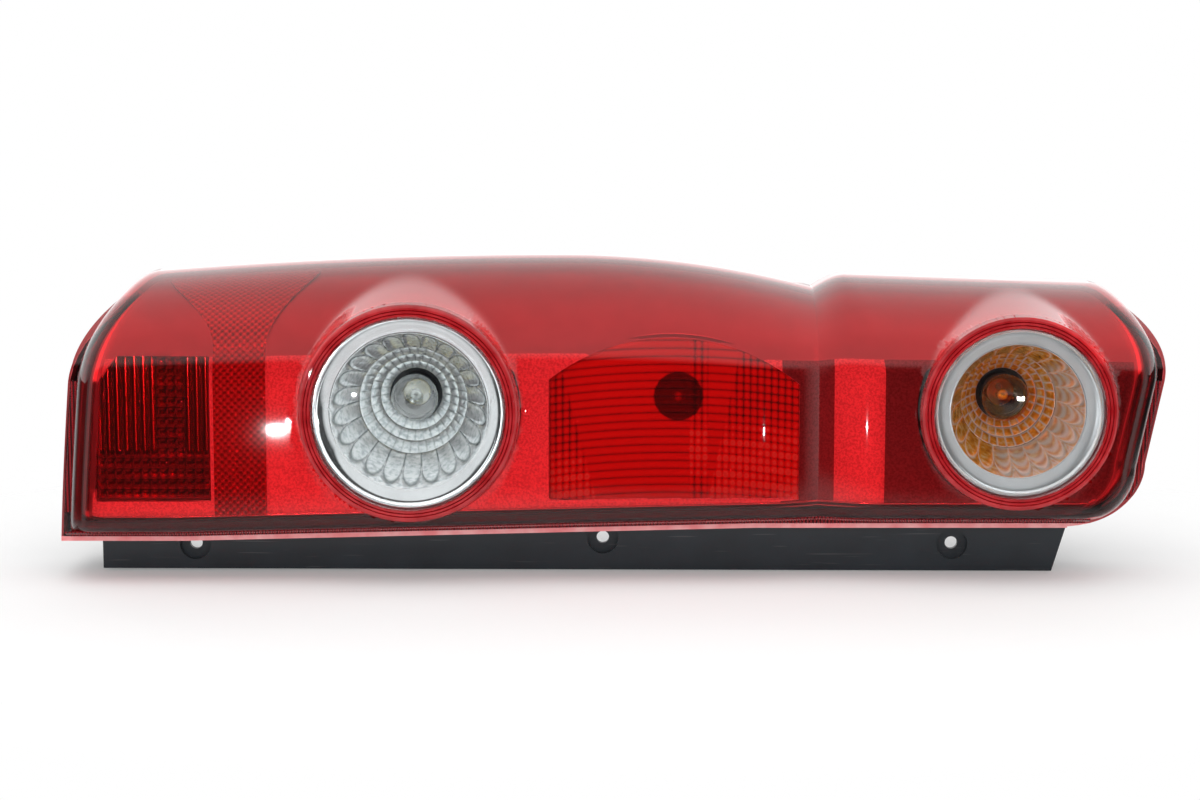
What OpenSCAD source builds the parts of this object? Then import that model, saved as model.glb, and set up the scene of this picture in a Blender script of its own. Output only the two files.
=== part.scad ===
// Rear lamp cluster of a small van, lying on its long side.
// X runs along the lamp, Y runs from the road behind into the body, and Z runs from
// the screw flange towards the side that wraps round the body's corner.
// The origin is the middle screw hole, on the face that the screw head bears on.

/* [Outer lens] */
// Distance from the middle screw hole to the fog lamp end of the lens
left_reach = 285; // [280:1:290]
// Distance from the middle screw hole to the indicator end of the lens
right_reach = 295; // [290:1:300]
// Wall of the outer lens
lens_wall = 2.6; // [2.2:0.1:3]
// Depth of the front face in front of the screw seat
front_depth = 38; // [36:1:40]
// Depth of the lens rim in front of the screw seat
rim_depth = 15; // [14:0.5:16]
// Height of the welded skirt behind the rim
skirt = 6; // [5:0.5:7]
// Width of the ribbed land inside the rim
land = 5; // [4.5:0.25:5.5]
// Width of the rounded wall between the land and the front face
wall_run = 9; // [8:0.5:10]
// Height of the lower edge at the fog lamp end
low_left = 1; // [0:0.5:2]
// Height of the lower edge past the middle
low_right = 8; // [7.5:0.25:8.5]
// Height of the highest point of the crown
crown_z = 147.5; // [145:0.5:150]
// Height of the side at the fog lamp end
left_z = 137; // [135:0.5:139]
// Height of the dip before the ridge
dip_z = 130; // [128:0.5:132]
// Height of the ridge
ridge_z = 137; // [135:0.5:139]
// Height of the side at the indicator end
right_z = 132.5; // [131:0.5:134]
// Where the crown starts to fall
crown_x = -22; // [-30:1:-14]
// Where the dip is deepest
dip_x = 112; // [109:1:115]
// Where the ridge crosses the front face
ridge_x = 144; // [141:1:147]
// How much the dip sets the front face back
dip_depth = 9; // [7:0.5:10]
// How far the side wraps back behind the screw seat
wrap_depth = 62; // [60:1:64]

/* [Round windows] */
// Height of both window centres
window_z = 73; // [71:0.5:75]
// Place of the reversing lamp
reverse_x = -100; // [-103:1:-97]
// Radius of the reversing lamp's window
reverse_r = 50; // [49:0.25:51]
// Distance from the indicator end to the indicator's centre
indicator_inset = 81; // [79:1:83]
// Radius of the indicator's window
indicator_r = 44; // [43:0.25:45]
// Wall of the clear windows
window_wall = 3; // [2.5:0.1:3.5]
// How far a window's face stands in front of the lens face
window_proud = 12; // [11:0.5:13]
// How far the red collar round a window stands in front of the lens face
collar_proud = 6; // [5:0.5:7]
// Width of the red collar round a window
collar_width = 6; // [5.5:0.25:6.5]
// Half angle of the hood behind the reversing lamp's collar
hood_angle = 13; // [12:0.5:14]

/* [Reflectors] */
// Width of the bright trim ring in a window
ring_width = 9; // [8.5:0.25:9.5]
// Wall of the reflectors
reflector_wall = 1.8; // [1.5:0.1:2.2]
// Bulb hole radius of every reflector
bulb_hole_r = 14; // [13.6:0.1:14.5]
// Number of facets round a bowl
facet_count = 20; // [16:2:24]
// Place of the stop lamp's bulb
stop_x = 39; // [37:1:41]
// Left edge of the stop lamp's opening
stop_left = -28; // [-29:0.5:-27]
// Right edge of the stop lamp's opening
stop_right = 102; // [101:0.5:103]
// Lower edge of the stop lamp's and the fog lamp's openings
opening_low = 25.5; // [25.5:0.25:26.5]
// Left edge of the fog lamp's opening
fog_left = -263; // [-264:0.5:-262]
// Right edge of the fog lamp's opening
fog_right = -203; // [-204:0.5:-202]
// Upper edge of the fog lamp's opening
fog_high = 101; // [99:0.5:103]

/* [Housing] */
// Wall of the housing
housing_wall = 2.5; // [2.2:0.1:3]
// Depth of the housing floor behind the screw seat
floor_depth = 33; // [32:0.5:34]
// Distance between the middle and the left screw hole
left_pitch = 216; // [214:1:218]
// Distance between the middle and the right screw hole
right_pitch = 185; // [183:1:187]
// How far the two outer screw holes lie below the middle one
outer_drop = 3; // [2.5:0.25:3.5]
// Radius of the screw holes
screw_hole_r = 3.3; // [3.2:0.1:3.5]
// Radius of the recess for a screw head
recess_r = 8.2; // [7.8:0.1:8.6]
// Depth of that recess
recess_depth = 4; // [3.5:0.25:4.5]
// Thickness of the flange
flange_wall = 3; // [2.5:0.25:3.5]
// How far the flange reaches below the screw holes
flange_drop = 16; // [15:0.5:17]
// Radius of the two locating pins
pin_r = 4; // [3.8:0.1:4.3]
// Length of the locating pins behind the wrap's edge
pin_reach = 20; // [18:1:22]

/* [Bulb carrier] */
// Thickness of the carrier plate
carrier_wall = 3; // [2.5:0.25:3.5]
// Height of the collar on the housing that the carrier seats on
carrier_collar = 4; // [3.5:0.25:4.5]
// Thickness of the gaskets, pressed
gasket_wall = 2; // [1.5:0.25:2.5]
// Half the height of the carrier plate
carrier_half = 25; // [24:0.5:26]
// Radius of the bulbs' glass
glass_r = 12.5; // [12.2:0.1:12.8]
// Length of the bulbs' glass
glass_len = 33; // [31:0.5:35]
// Radius of the bulbs' metal cap
cap_r = 7.6; // [7.5:0.05:7.8]
// Length of the metal cap
cap_len = 18; // [17:0.5:19]
// Wall of the bulb sockets
socket_wall = 2.4; // [2.1:0.1:2.8]

/* [Hidden] */
fit = 0.3;
eps = 0.02;
bulge = front_depth - rim_depth;
crown_rise = 12;
shoulder_z = 86;
shoulder_y = 30;
lean = 1.5;
dip_run = 35;
indicator_x = right_reach - indicator_inset;
fog_x = (fog_left + fog_right) / 2;
bulb_xs = [reverse_x, indicator_x, stop_x, fog_x];
end_run = 14;
bezel_gap = 5;
bezel_wall = 1.8;
seam = 0.15;

// The lens surface, as functions that every skin under it shares

// Height of the lower edge at x
function low_z(x) = low_left + (low_right - low_left) * min(1, max(0, (x + 220) / 300));

// Place of the ridge at a given way up the shoulder
function ridge_at(z) = ridge_x - 14 * pow(max(0, min(1, (z - 92) / 40)), 1.4);

// Height of the crown at x, with the dip and the ridge in it
function top_z(x) =
  x < crown_x ? crown_z - (crown_z - left_z) * pow((crown_x - x) / (crown_x + 260), 2) :
  x < dip_x ? crown_z - (crown_z - dip_z) * pow((x - crown_x) / (dip_x - crown_x), 2) :
  x < ridge_x - 14 ? dip_z + (ridge_z - dip_z) * sin(90 * (x - dip_x) / (ridge_x - 14 - dip_x)) :
  ridge_z - (ridge_z - right_z) * (x - ridge_x + 14) / 130;

// How far the front face is set back at x, from 0 to 1
function dip_at(x, r) =
  x < dip_x - dip_run ? 0 :
  x < dip_x ? pow((x - dip_x + dip_run) / dip_run, 2) :
  x < r ? 1 - 0.6 * sin(90 * (x - dip_x) / (r - dip_x)) - 0.4 * (x - dip_x) / (r - dip_x) : 0;

// One minus the sine of the angle whose cosine is t
function corner(t) = 1 - sqrt(1 - pow(min(1, max(0, t)), 2));

// Ends of the lens at height z
function left_x(z) =
  -left_reach + 7 * pow(max(0, min(z, 95)) / 95, 1.3) + 65 * corner((z - 84) / 55);
function right_x(z) =
  right_reach - 11 + 11 * (max(z, 40) - 40) / 57 - 40 * corner((40 - z) / 34)
  - 65 * corner((z - 84) / 55);

// Rise of the lens from its land at distance d inside the land, from 0 to 1
function rise(d) = d <= 0 ? 0 : d >= end_run ? 1 : sqrt(1 - pow(1 - d / end_run, 2));

// Stations along the lens: kind 0 counts from the left end, kind 4 from the right end,
// and kinds 1 to 3 are fractions of the stretches between the ends, the dip and the ridge
STATIONS = concat(
  [[0, -1], [0, 0]],
  [for (d = [0, 0.5, 2, 4.5, 8, end_run]) [0, land + d]],
  [for (t = [0.09, 0.18, 0.27, 0.36, 0.45, 0.54, 0.63, 0.72, 0.8, 0.86, 0.91, 0.96, 1]) [1, t]],
  [for (t = [0.12, 0.3, 0.5, 0.75, 1]) [2, t]],
  [for (t = [0.25, 0.5, 0.75]) [3, t]],
  [for (d = [end_run, 8, 4.5, 2, 0.5, 0]) [4, land + d]],
  [[4, 0], [4, -1]]
);

function mix(a, b, t) = a + (b - a) * t;

// Place along the lamp of station s at height z, for a skin set in by w
function station_x(s, z, w) =
  let (l = left_x(z) + land + end_run, r = right_x(z) - land - end_run, g = ridge_at(z))
  s[0] == 0 ? left_x(z) + w + max(0, s[1]) :
  s[0] == 1 ? mix(l + w, dip_x, s[1]) :
  s[0] == 2 ? mix(dip_x, g, s[1]) :
  s[0] == 3 ? mix(g, r - w, s[1]) :
  s[0] == 5 ? let (c = pow(max(0, (z - 100) / 25), 2))
    mix(-201 - 30 * c, -174 + 26 * c, s[1]) :
  right_x(z) - w - max(0, s[1]);

// Rows of the profile: 0 is the lower skirt, 8 the top of the front, 16 the crown, 22 the
// skirt of the wrapped side. This gives the height that a row has at the rim.
function row_z(k) =
  k < 2 ? 5 :
  k < 7 ? 5 + land + wall_run * (1 - cos([0, 35, 55, 75, 90][k - 2])) :
  k == 7 ? 50 :
  k == 8 ? shoulder_z :
  k < 17 ? shoulder_z + (125 - shoulder_z) * sin((k - 8) * 11.25) : 125;

// A point of a skin: s is the station, k the row, w the set-in of the skin from the lens
// face, q the length of the skirt and f the reach of the lower skirt
function skin_point(s, k, w, q, f) =
  let (
    x = station_x(s, row_z(k), w) + (k == 0 || k == 22 ? (s[1] == 0 ? (s[0] == 0 ? 2 : -2) : 0) : 0),
    skirt_end = s[1] == -1 && (s[0] == 0 || s[0] == 4),
    n = skirt_end ? q : w,
    e = s[0] == 0 || s[0] == 4 ? rise(s[1] - land) : 1,
    g = dip_depth * dip_at(x, ridge_at(row_z(k))),
    h = e * (bulge - g),
    b = low_z(x) + w,
    t = top_z(x),
    a = (k - 8) * 11.25,
    c = skirt_end ? 2 : 0
  )
  k == 0 ? [x, -rim_depth + f, b] :
  k == 1 ? [x, -rim_depth + n, b + c] :
  k < 7 ? let (v = [0, 35, 55, 75, 90][k - 2])
    [x, -rim_depth + n - h * sin(v), b + land + wall_run * (1 - cos(v))] :
  k == 7 ? [x, -rim_depth + n - h + 0.5 * e, 50] :
  k == 8 ? [x, -rim_depth + n - h + lean * e, shoulder_z] :
  k < 17 ? [
    x,
    shoulder_y - mix(shoulder_y + rim_depth, shoulder_y + front_depth - lean - g, e) * cos(a)
      + n * cos(a),
    shoulder_z + (mix(t - crown_rise, t, e) - shoulder_z - n) * sin(a)
  ] :
  k == 17 ? [x, wrap_depth - w - land - wall_run * 1.2, t - n - mix(crown_rise, 0.6, e)] :
  k < 21 ? let (v = [60, 30, 0][k - 18])
    [x, wrap_depth - w - land - wall_run * (1 - cos(v)),
      t - n - crown_rise + e * (crown_rise - 1) * sin(v)] :
  k == 21 ? [x, wrap_depth - w - c, t - n - crown_rise] :
  [x, wrap_depth - w, t - crown_rise - q];

// A closed solid between two grids of points that have the same layout, a outside b
module slab(a, b) {
  m = len(a);
  n = len(a[0]);
  pts = [for (g = [a, b]) for (r = g) for (p = r) p];
  o = m * n;
  tris = function (i, j, k, l, turned = false)
    turned ? [[i, j, l], [j, k, l]] : [[i, j, k], [i, k, l]];
  far = function (i, j) (i < m / 2) != (j < n / 2);
  quads = [
    for (i = [0:m - 2]) for (j = [0:n - 2]) each concat(
      tris(i * n + j, (i + 1) * n + j, (i + 1) * n + j + 1, i * n + j + 1, far(i, j)),
      tris(o + i * n + j, o + i * n + j + 1, o + (i + 1) * n + j + 1, o + (i + 1) * n + j,
        far(i, j))
    ),
    for (i = [0:m - 2]) each concat(
      tris(i * n, o + i * n, o + (i + 1) * n, (i + 1) * n),
      tris(i * n + n - 1, (i + 1) * n + n - 1, o + (i + 1) * n + n - 1, o + i * n + n - 1)
    ),
    for (j = [0:n - 2]) each concat(
      tris(j, j + 1, o + j + 1, o + j),
      tris((m - 1) * n + j, o + (m - 1) * n + j, o + (m - 1) * n + j + 1, (m - 1) * n + j + 1)
    )
  ];
  polyhedron(points = pts, faces = [for (f = quads) [f[0], f[2], f[1]]], convexity = 8);
}

// The grid of a skin over a run of rows
function skin(w, q, f, rows = [for (k = [0:22]) k], stations = STATIONS) =
  [for (s = stations) [for (k = rows) skin_point(s, k, w, q, f)]];

// What lies inside the lens, closed well behind it
module lens_inside(w) {
  g = skin(w, skirt, skirt);
  m = len(g) - 2;
  inner = [for (i = [1:m]) concat(
    [for (k = [1:21]) g[i][k]],
    [[g[i][21][0], 90, g[i][21][2]], [g[i][1][0], 90, g[i][1][2]]]
  )];
  n = len(inner[0]);
  r = len(inner);
  pts = [for (p = inner) for (v = p) v];
  polyhedron(
    points = pts,
    faces = concat(
      [for (i = [0:r - 2]) for (j = [0:n - 1]) each
        [[i * n + j, (i + 1) * n + (j + 1) % n, (i + 1) * n + j],
         [i * n + j, i * n + (j + 1) % n, (i + 1) * n + (j + 1) % n]]],
      [for (j = [0:n - 3]) [n - 1, j + 1, j]],
      [for (j = [0:n - 3]) [(r - 1) * n + n - 1, (r - 1) * n + j, (r - 1) * n + j + 1]]
    ),
    convexity = 8
  );
}

// Puts a solid of revolution about Z onto a lamp's axis, with its foot at depth y
module on_axis(x, y) {
  translate([x, y, window_z])
    rotate([-90, 0, 0])
      children();
}

collar_y = -front_depth - collar_proud;
collar_len = collar_proud + 7;
hood_len = front_depth + collar_proud + 14;

// Collar round a window of radius r, a short cone that the hood carries on
module collar(x, r, angle) {
  step = collar_len * tan(angle);
  on_axis(x, collar_y)
    cylinder(h = collar_len, r1 = r + collar_width, r2 = r + collar_width + step, $fn = 96);
}

// Hood behind a collar, set in by w. With a set-in it is the space that the hood leaves
module hood(x, r, angle, w) {
  step = collar_len * tan(angle);
  far = hood_len * tan(angle);
  intersection() {
    on_axis(x, collar_y + collar_len - (w > 0 ? eps : 0))
      cylinder(h = hood_len - collar_len + (w > 0 ? 10 : 0), r1 = r + collar_width + step - w,
        r2 = r + collar_width + far - w + (w > 0 ? 10 * tan(angle) : 0), $fn = 96);
    translate([x - 100, -60, window_z + (w > 0 ? w : 0)])
      cube([200, 120, 100]);
  }
}

module outer_lens() {
  color("#9c1218", 0.7)
    difference() {
      union() {
        slab(skin(0, skirt, skirt), skin(lens_wall, skirt, skirt));
        difference() {
          union() {
            hood(reverse_x, reverse_r, hood_angle, 0);
            hood(indicator_x, indicator_r, hood_angle * 0.7, 0);
          }
          lens_inside(lens_wall);
        }
        collar(reverse_x, reverse_r, hood_angle);
        collar(indicator_x, indicator_r, hood_angle * 0.7);
      }
      hood(reverse_x, reverse_r, hood_angle, lens_wall);
      hood(indicator_x, indicator_r, hood_angle * 0.7, lens_wall);
      on_axis(reverse_x, collar_y - 1)
        cylinder(h = collar_len + 2, r = reverse_r, $fn = 96);
      on_axis(indicator_x, collar_y - 1)
        cylinder(h = collar_len + 2, r = indicator_r, $fn = 96);
    }
}

// The clear windows and their bright rings

glass_back = -front_depth - 1.7;

module window_cup(r) {
  face_y = -front_depth - window_proud;
  o = r - fit;
  on_axis(0, 0)
    rotate_extrude($fn = 96)
      difference() {
        polygon([
          [0, face_y - 1.2], [o * 0.5, face_y - 0.9], [o - 4, face_y], [o - 1.2, face_y + 1.2],
          [o, face_y + 4], [o, glass_back], [0, glass_back]
        ]);
        polygon([
          [0, face_y - 1.2 + window_wall], [o * 0.5, face_y - 0.9 + window_wall],
          [o - 5.2, face_y + window_wall], [o - window_wall, face_y + window_wall + 2],
          [o - window_wall, glass_back + 1], [0, glass_back + 1]
        ]);
      }
}

module reverse_window() {
  color("#e8ecee", 0.4)
    translate([reverse_x, 0, 0])
      window_cup(reverse_r);
}

module indicator_window() {
  color("#e8ecee", 0.4)
    translate([indicator_x, 0, 0])
      window_cup(indicator_r);
}

ring_front = glass_back + 0.3;
bowl_front = -front_depth + 5;

module trim_ring(r) {
  o = r - fit;
  on_axis(0, 0)
    rotate_extrude($fn = 96)
      polygon([
        [o, ring_front], [o, bowl_front], [o - 1.6, bowl_front], [o - 1.6, ring_front + 2.2],
        [o - ring_width + 0.8, bowl_front - 1.2], [o - ring_width, bowl_front - 1.6]
      ]);
}

module reverse_ring() {
  color("#d9dbd9")
    translate([reverse_x, 0, 0])
      trim_ring(reverse_r);
}

module indicator_ring() {
  color("#b9bbba")
    translate([indicator_x, 0, 0])
      trim_ring(indicator_r);
}

// The reflectors

bowl_back = floor_depth - 7;
steps = 4;
step_depth = 1.2;

// Depth of a bowl at radius r, when it runs from r0 at the back to r1 at depth y1
function bowl_y(r, r0, r1, y1) =
  bowl_back - (bowl_back - y1) * (r * r - r0 * r0) / (r1 * r1 - r0 * r0);

// Profile of a bowl from its hole to its rim, with a riser after every ring of facets
function bowl_profile(r0, r1, y1, grow) = concat(
  [[r0 - 1, bowl_back + grow]],
  [for (j = [0:steps - 1])
    let (a = r0 + (r1 - r0) * j / steps, b = r0 + (r1 - r0) * (j + 1) / steps)
    each concat(
      j == 0 ? [] : [[a + grow * 0.6, bowl_y(a, r0, r1, y1) + grow * 0.8]],
      [[b + grow * 0.6 - 0.3, bowl_y(b, r0, r1, y1) + step_depth + grow * 0.8]]
    )],
  [[r1 + grow, y1 - 1]]
);

// The space in front of a bowl, with flat facets round it
module bowl_space(r0, r1, y1, grow) {
  prof = bowl_profile(r0, r1, y1, grow);
  m = len(prof);
  n = facet_count;
  pts = concat(
    [for (p = prof) for (i = [0:n - 1])
      [p[0] * cos(360 * i / n), p[1], p[0] * sin(360 * i / n)]],
    [[0, prof[0][1], 0], [0, prof[m - 1][1], 0]]
  );
  polyhedron(
    points = pts,
    faces = concat(
      [for (j = [0:m - 2]) for (i = [0:n - 1]) each [
        [j * n + i, (j + 1) * n + (i + 1) % n, j * n + (i + 1) % n],
        [j * n + i, (j + 1) * n + i, (j + 1) * n + (i + 1) % n]
      ]],
      [for (i = [0:n - 1]) [m * n, i, (i + 1) % n]],
      [for (i = [0:n - 1]) [m * n + 1, (m - 1) * n + (i + 1) % n, (m - 1) * n + i]]
    ),
    convexity = 6
  );
}

// Tube that carries a bowl on the housing floor
module neck() {
  on_axis(0, bowl_back - 1)
    cylinder(h = floor_depth - bowl_back + 1, r = bulb_hole_r + reflector_wall, $fn = 64);
}

module round_bowl(r) {
  r1 = r - fit - ring_width + 0.4;
  difference() {
    union() {
      translate([0, 0, window_z])
        bowl_space(bulb_hole_r, r1, bowl_front, reflector_wall);
      on_axis(0, bowl_front)
        cylinder(h = 1.8, r = r - fit, $fn = 96);
      neck();
    }
    translate([0, 0, window_z])
      bowl_space(bulb_hole_r, r1, bowl_front, 0);
    on_axis(0, bowl_front - 5)
      cylinder(h = 5, r = r, $fn = 96);
    on_axis(0, bowl_front - 2)
      cylinder(h = 90, r = bulb_hole_r, $fn = 64);
  }
}

module reverse_reflector() {
  color("#d4d6d8")
    translate([reverse_x, 0, 0])
      round_bowl(reverse_r);
}

module indicator_reflector() {
  color("#d4d6d8")
    translate([indicator_x, 0, 0])
      round_bowl(indicator_r);
}

optic_back = -front_depth + 13.5;

// Outline of the stop lamp's opening, grown by g
module stop_outline(g) {
  intersection() {
    translate([stop_left - g, opening_low - g])
      square([stop_right - stop_left + 2 * g, 110]);
    translate([(stop_left + stop_right) / 2 - 2, 7])
      circle(r = 103.5 + g, $fn = 180);
  }
}

// Outline of the fog lamp's opening, grown by g
module fog_outline(g) {
  polygon([
    [fog_left - g, opening_low - g], [fog_right + g, opening_low - g],
    [fog_right + g, fog_high + g], [fog_left + 12 - g, fog_high + g],
    [fog_left + 3 - g, fog_high - 12]
  ]);
}

// Pushes an outline that is drawn in X and Z along Y from y1 to y2
module along_y(y1, y2) {
  translate([0, y2, 0])
    rotate([90, 0, 0])
      linear_extrude(height = y2 - y1, convexity = 4)
        children();
}

module stop_reflector() {
  color("#d4d6d8")
    difference() {
      union() {
        intersection() {
          along_y(optic_back, 60)
            stop_outline(reflector_wall);
          translate([stop_x, 0, window_z])
            bowl_space(bulb_hole_r, 92, optic_back, reflector_wall);
        }
        translate([stop_x, 0, 0])
          neck();
      }
      intersection() {
        along_y(optic_back - 9, 60)
          stop_outline(-1);
        translate([stop_x, -eps, window_z])
          bowl_space(bulb_hole_r, 92, optic_back, 0);
      }
      on_axis(stop_x, -5)
        cylinder(h = 90, r = bulb_hole_r, $fn = 64);
    }
}

module fog_reflector() {
  color("#d4d6d8")
    difference() {
      union() {
        intersection() {
          along_y(optic_back, 60)
            fog_outline(reflector_wall);
          translate([fog_x, 0, window_z])
            bowl_space(bulb_hole_r, 70, optic_back, reflector_wall);
        }
        translate([fog_x, 0, 0])
          neck();
      }
      intersection() {
        along_y(optic_back - 9, 60)
          fog_outline(-1);
        translate([fog_x, -eps, window_z])
          bowl_space(bulb_hole_r, 70, optic_back, 0);
      }
      on_axis(fog_x, -5)
        cylinder(h = 90, r = bulb_hole_r, $fn = 64);
    }
}

// The inner lenses

module stop_optic() {
  color("#b01820", 0.6)
    union() {
      along_y(optic_back - 2, optic_back)
        stop_outline(-fit);
      intersection() {
        along_y(optic_back - 6, optic_back)
          stop_outline(-fit - 1);
        for (z = [opening_low + 5:5:105])
          translate([stop_left, optic_back - 2, z])
            rotate([0, 90, 0])
              cylinder(h = stop_right - stop_left, r = 1.8, $fn = 24);
      }
    }
}

module fog_optic() {
  color("#8a1218", 0.6)
    union() {
      along_y(optic_back - 2, optic_back)
        fog_outline(-fit);
      intersection() {
        along_y(optic_back - 6, optic_back)
          fog_outline(-fit - 1);
        for (x = [fog_left + 5:5:fog_right])
          translate([x, optic_back - 2, opening_low])
            cylinder(h = 90, r = 1.8, $fn = 24);
      }
    }
}

module reflex_panel() {
  w = lens_wall + fit;
  cols = [for (u = [0:0.125:1]) [5, u]];
  rows = [for (k = [6:15]) k];
  color("#c2282e", 0.7)
    slab(skin(w, skirt, skirt, rows, cols), skin(w + 1.8, skirt, skirt, rows, cols));
}

// The metallised bezel

BEZEL_STATIONS = [for (i = [0:len(STATIONS) - 1])
  if (i < 3 || i == 4 || i == 7 || (i > 8 && i < 16 && i % 2 == 0) || (i > 15 && i < 27)
    || i == 29 || i == 31 || i > 33) STATIONS[i]];
BEZEL_ROWS = [0, 1, 2, 4, 6, 7, 8, 9, 10, 12, 14, 16, 17, 19, 21, 22];
post_xs = [-243, -165, 10, 128, 232];

function post_z(x) = low_z(x) + bezel_gap + 4.5;

throat_front = collar_y + collar_len + 0.4;
throat_z = window_z + 22.5;

// Radius of a throat at depth y. It follows the lens's hood
function throat_r(r, angle, y) = r + collar_width + (y - collar_y) * tan(angle) - lens_wall - 0.6;

// Cone under a hood, set in by w. With a set-in it is the space that the throat leaves
module throat(x, r, angle, w) {
  y1 = throat_front - (w > 0 ? 1 : 0);
  y2 = 12 + (w > 0 ? 1 : 0);
  intersection() {
    on_axis(x, y1)
      cylinder(h = y2 - y1, r1 = throat_r(r, angle, y1) - w, r2 = throat_r(r, angle, y2) - w, $fn = 96);
    translate([x - 100, -60, throat_z - (w > 0 ? eps : 0)])
      cube([200, 120, 100]);
  }
}

// Opening round the lower part of a collar
module collar_opening(x, r, angle) {
  intersection() {
    on_axis(x, -60)
      cylinder(h = 96, r = r + collar_width + collar_len * tan(angle) + 0.6, $fn = 96);
    translate([x - 100, -70, window_z - 100])
      cube([200, 120, 100 + throat_z - window_z]);
  }
}

module inner_bezel() {
  f = floor_depth + rim_depth;
  color("#cfcfd2")
    difference() {
      union() {
        slab(
          skin(bezel_gap, 9, f, BEZEL_ROWS, BEZEL_STATIONS),
          skin(bezel_gap + bezel_wall, 9, f, BEZEL_ROWS, BEZEL_STATIONS)
        );
        intersection() {
          union() {
            along_y(-front_depth, optic_back - fit)
              stop_outline(bezel_wall);
            along_y(-front_depth, optic_back - fit)
              fog_outline(bezel_wall);
          }
          lens_inside(bezel_gap + 0.6);
        }
        difference() {
          union() {
            throat(reverse_x, reverse_r, hood_angle, 0);
            throat(indicator_x, indicator_r, hood_angle * 0.7, 0);
          }
          lens_inside(bezel_gap + 0.6);
        }
        for (x = post_xs)
          translate([x, -8, post_z(x)])
            rotate([-90, 0, 0])
              cylinder(h = floor_depth + 8, r = 4, $fn = 32);
      }
      along_y(-front_depth - 1, optic_back + 5)
        stop_outline(0);
      along_y(-front_depth - 1, optic_back + 5)
        fog_outline(0);
      along_y(optic_back - fit, 60)
        stop_outline(reflector_wall + fit);
      along_y(optic_back - fit, 60)
        fog_outline(reflector_wall + fit);
      throat(reverse_x, reverse_r, hood_angle, bezel_wall);
      throat(indicator_x, indicator_r, hood_angle * 0.7, bezel_wall);
      collar_opening(reverse_x, reverse_r, hood_angle);
      collar_opening(indicator_x, indicator_r, hood_angle * 0.7);
      for (x = post_xs)
        translate([x, floor_depth - 14, post_z(x)])
          rotate([-90, 0, 0])
            cylinder(h = 20, r = 1.5, $fn = 24);
    }
}

module bezel_screws() {
  color("#9a9da0")
    for (x = post_xs)
      translate([x, 0, post_z(x)])
        rotate([-90, 0, 0])
          union() {
            translate([0, 0, floor_depth - 12])
              cylinder(h = 12 + housing_wall + 1, r = 1.5 - 0.1, $fn = 24);
            translate([0, 0, floor_depth + housing_wall])
              cylinder(h = 2, r = 3.5, $fn = 32);
          }
}

// The housing

// A point of the housing: front is true for the edge that the lens sits on
function tub_point(s, k, w, front) =
  let (
    q = skirt + seam,
    z = row_z(k),
    x = station_x(s, z, w) + (front ? 0 : s[0] == 0 && s[1] <= 0 ? 1.5 : s[0] == 4 && s[1] <= 0 ? -1.5 : 0),
    b = low_z(x) + w,
    t = top_z(x) - crown_rise - q,
    under = t - 9 + w,
    y = floor_depth + housing_wall - w
  )
  front ? let (p = skin_point(s, k, w, q, q)) p :
  k == 0 ? [x, -rim_depth + q, b] :
  k == 1 ? [x, y, b + 0.6] :
  k < 7 ? [x, y, b + row_z(k) - 5] :
  k < 9 ? [x, y, row_z(k)] :
  k < 14 ? [x, y, mix(shoulder_z, under, (k - 8) / 5)] :
  k == 14 ? [x, wrap_depth - w, under] :
  [x, wrap_depth - w, mix(under, t, (k - 14) / 8)];

function tub(w) = [for (i = [-1:len(STATIONS)])
  let (last = len(STATIONS) - 1)
  [for (k = [0:22])
    i == -1 ? tub_point(STATIONS[0], k, w, true) :
    i == 0 ? tub_point(STATIONS[0], k, w, false) :
    i == last ? tub_point(STATIONS[last], k, w, false) :
    i == last + 1 ? tub_point(STATIONS[last], k, w, true) :
    tub_point(STATIONS[i], k, w, false)
  ]];

// Drops the stations that fall together at the two ends
function tub_grid(w) = let (g = tub(w), n = len(g))
  [for (i = [0:n - 1]) if (i != 2 && i != n - 3) g[i]];

collar_back = floor_depth + housing_wall + carrier_collar;
plate_front = collar_back + gasket_wall;
carrier_left = fog_x - 26;
carrier_right = indicator_x + 26;
screw_xs = [fog_x + 40, -20, 118];
screw_dz = carrier_half - 7.5;
pin_xs = [-165, 185];
vent_xs = [-190, 165];
vent_z = 29;

function pin_z(x) = top_z(x) - crown_rise - skirt - seam - 4.5;

// Four-sided frame in X and Z round the carrier, from y1 to y2
module carrier_frame(out, wide, y1, y2) {
  difference() {
    translate([carrier_left - out, y1, window_z - carrier_half - out])
      cube([carrier_right - carrier_left + 2 * out, y2 - y1, 2 * (carrier_half + out)]);
    translate([carrier_left - out + wide, y1 - 1, window_z - carrier_half - out + wide])
      cube([carrier_right - carrier_left + 2 * (out - wide), y2 - y1 + 2,
        2 * (carrier_half + out - wide)]);
  }
}

// Place of each screw hole along and across the flange
screw_holes = [[-left_pitch, -outer_drop], [0, 0], [right_pitch, -outer_drop]];

module flange_plate() {
  along_y(-recess_depth, flange_wall - recess_depth)
    polygon([
      [-left_pitch - 49, -flange_drop], [right_pitch + 53, -flange_drop - 1.5],
      [right_pitch + 61, low_z(240) + 1.2], [80, low_z(80) + 1.2], [-220, low_z(-220) + 1.2],
      [-left_pitch - 49, low_z(-220) + 1.2]
    ]);
}

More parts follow.
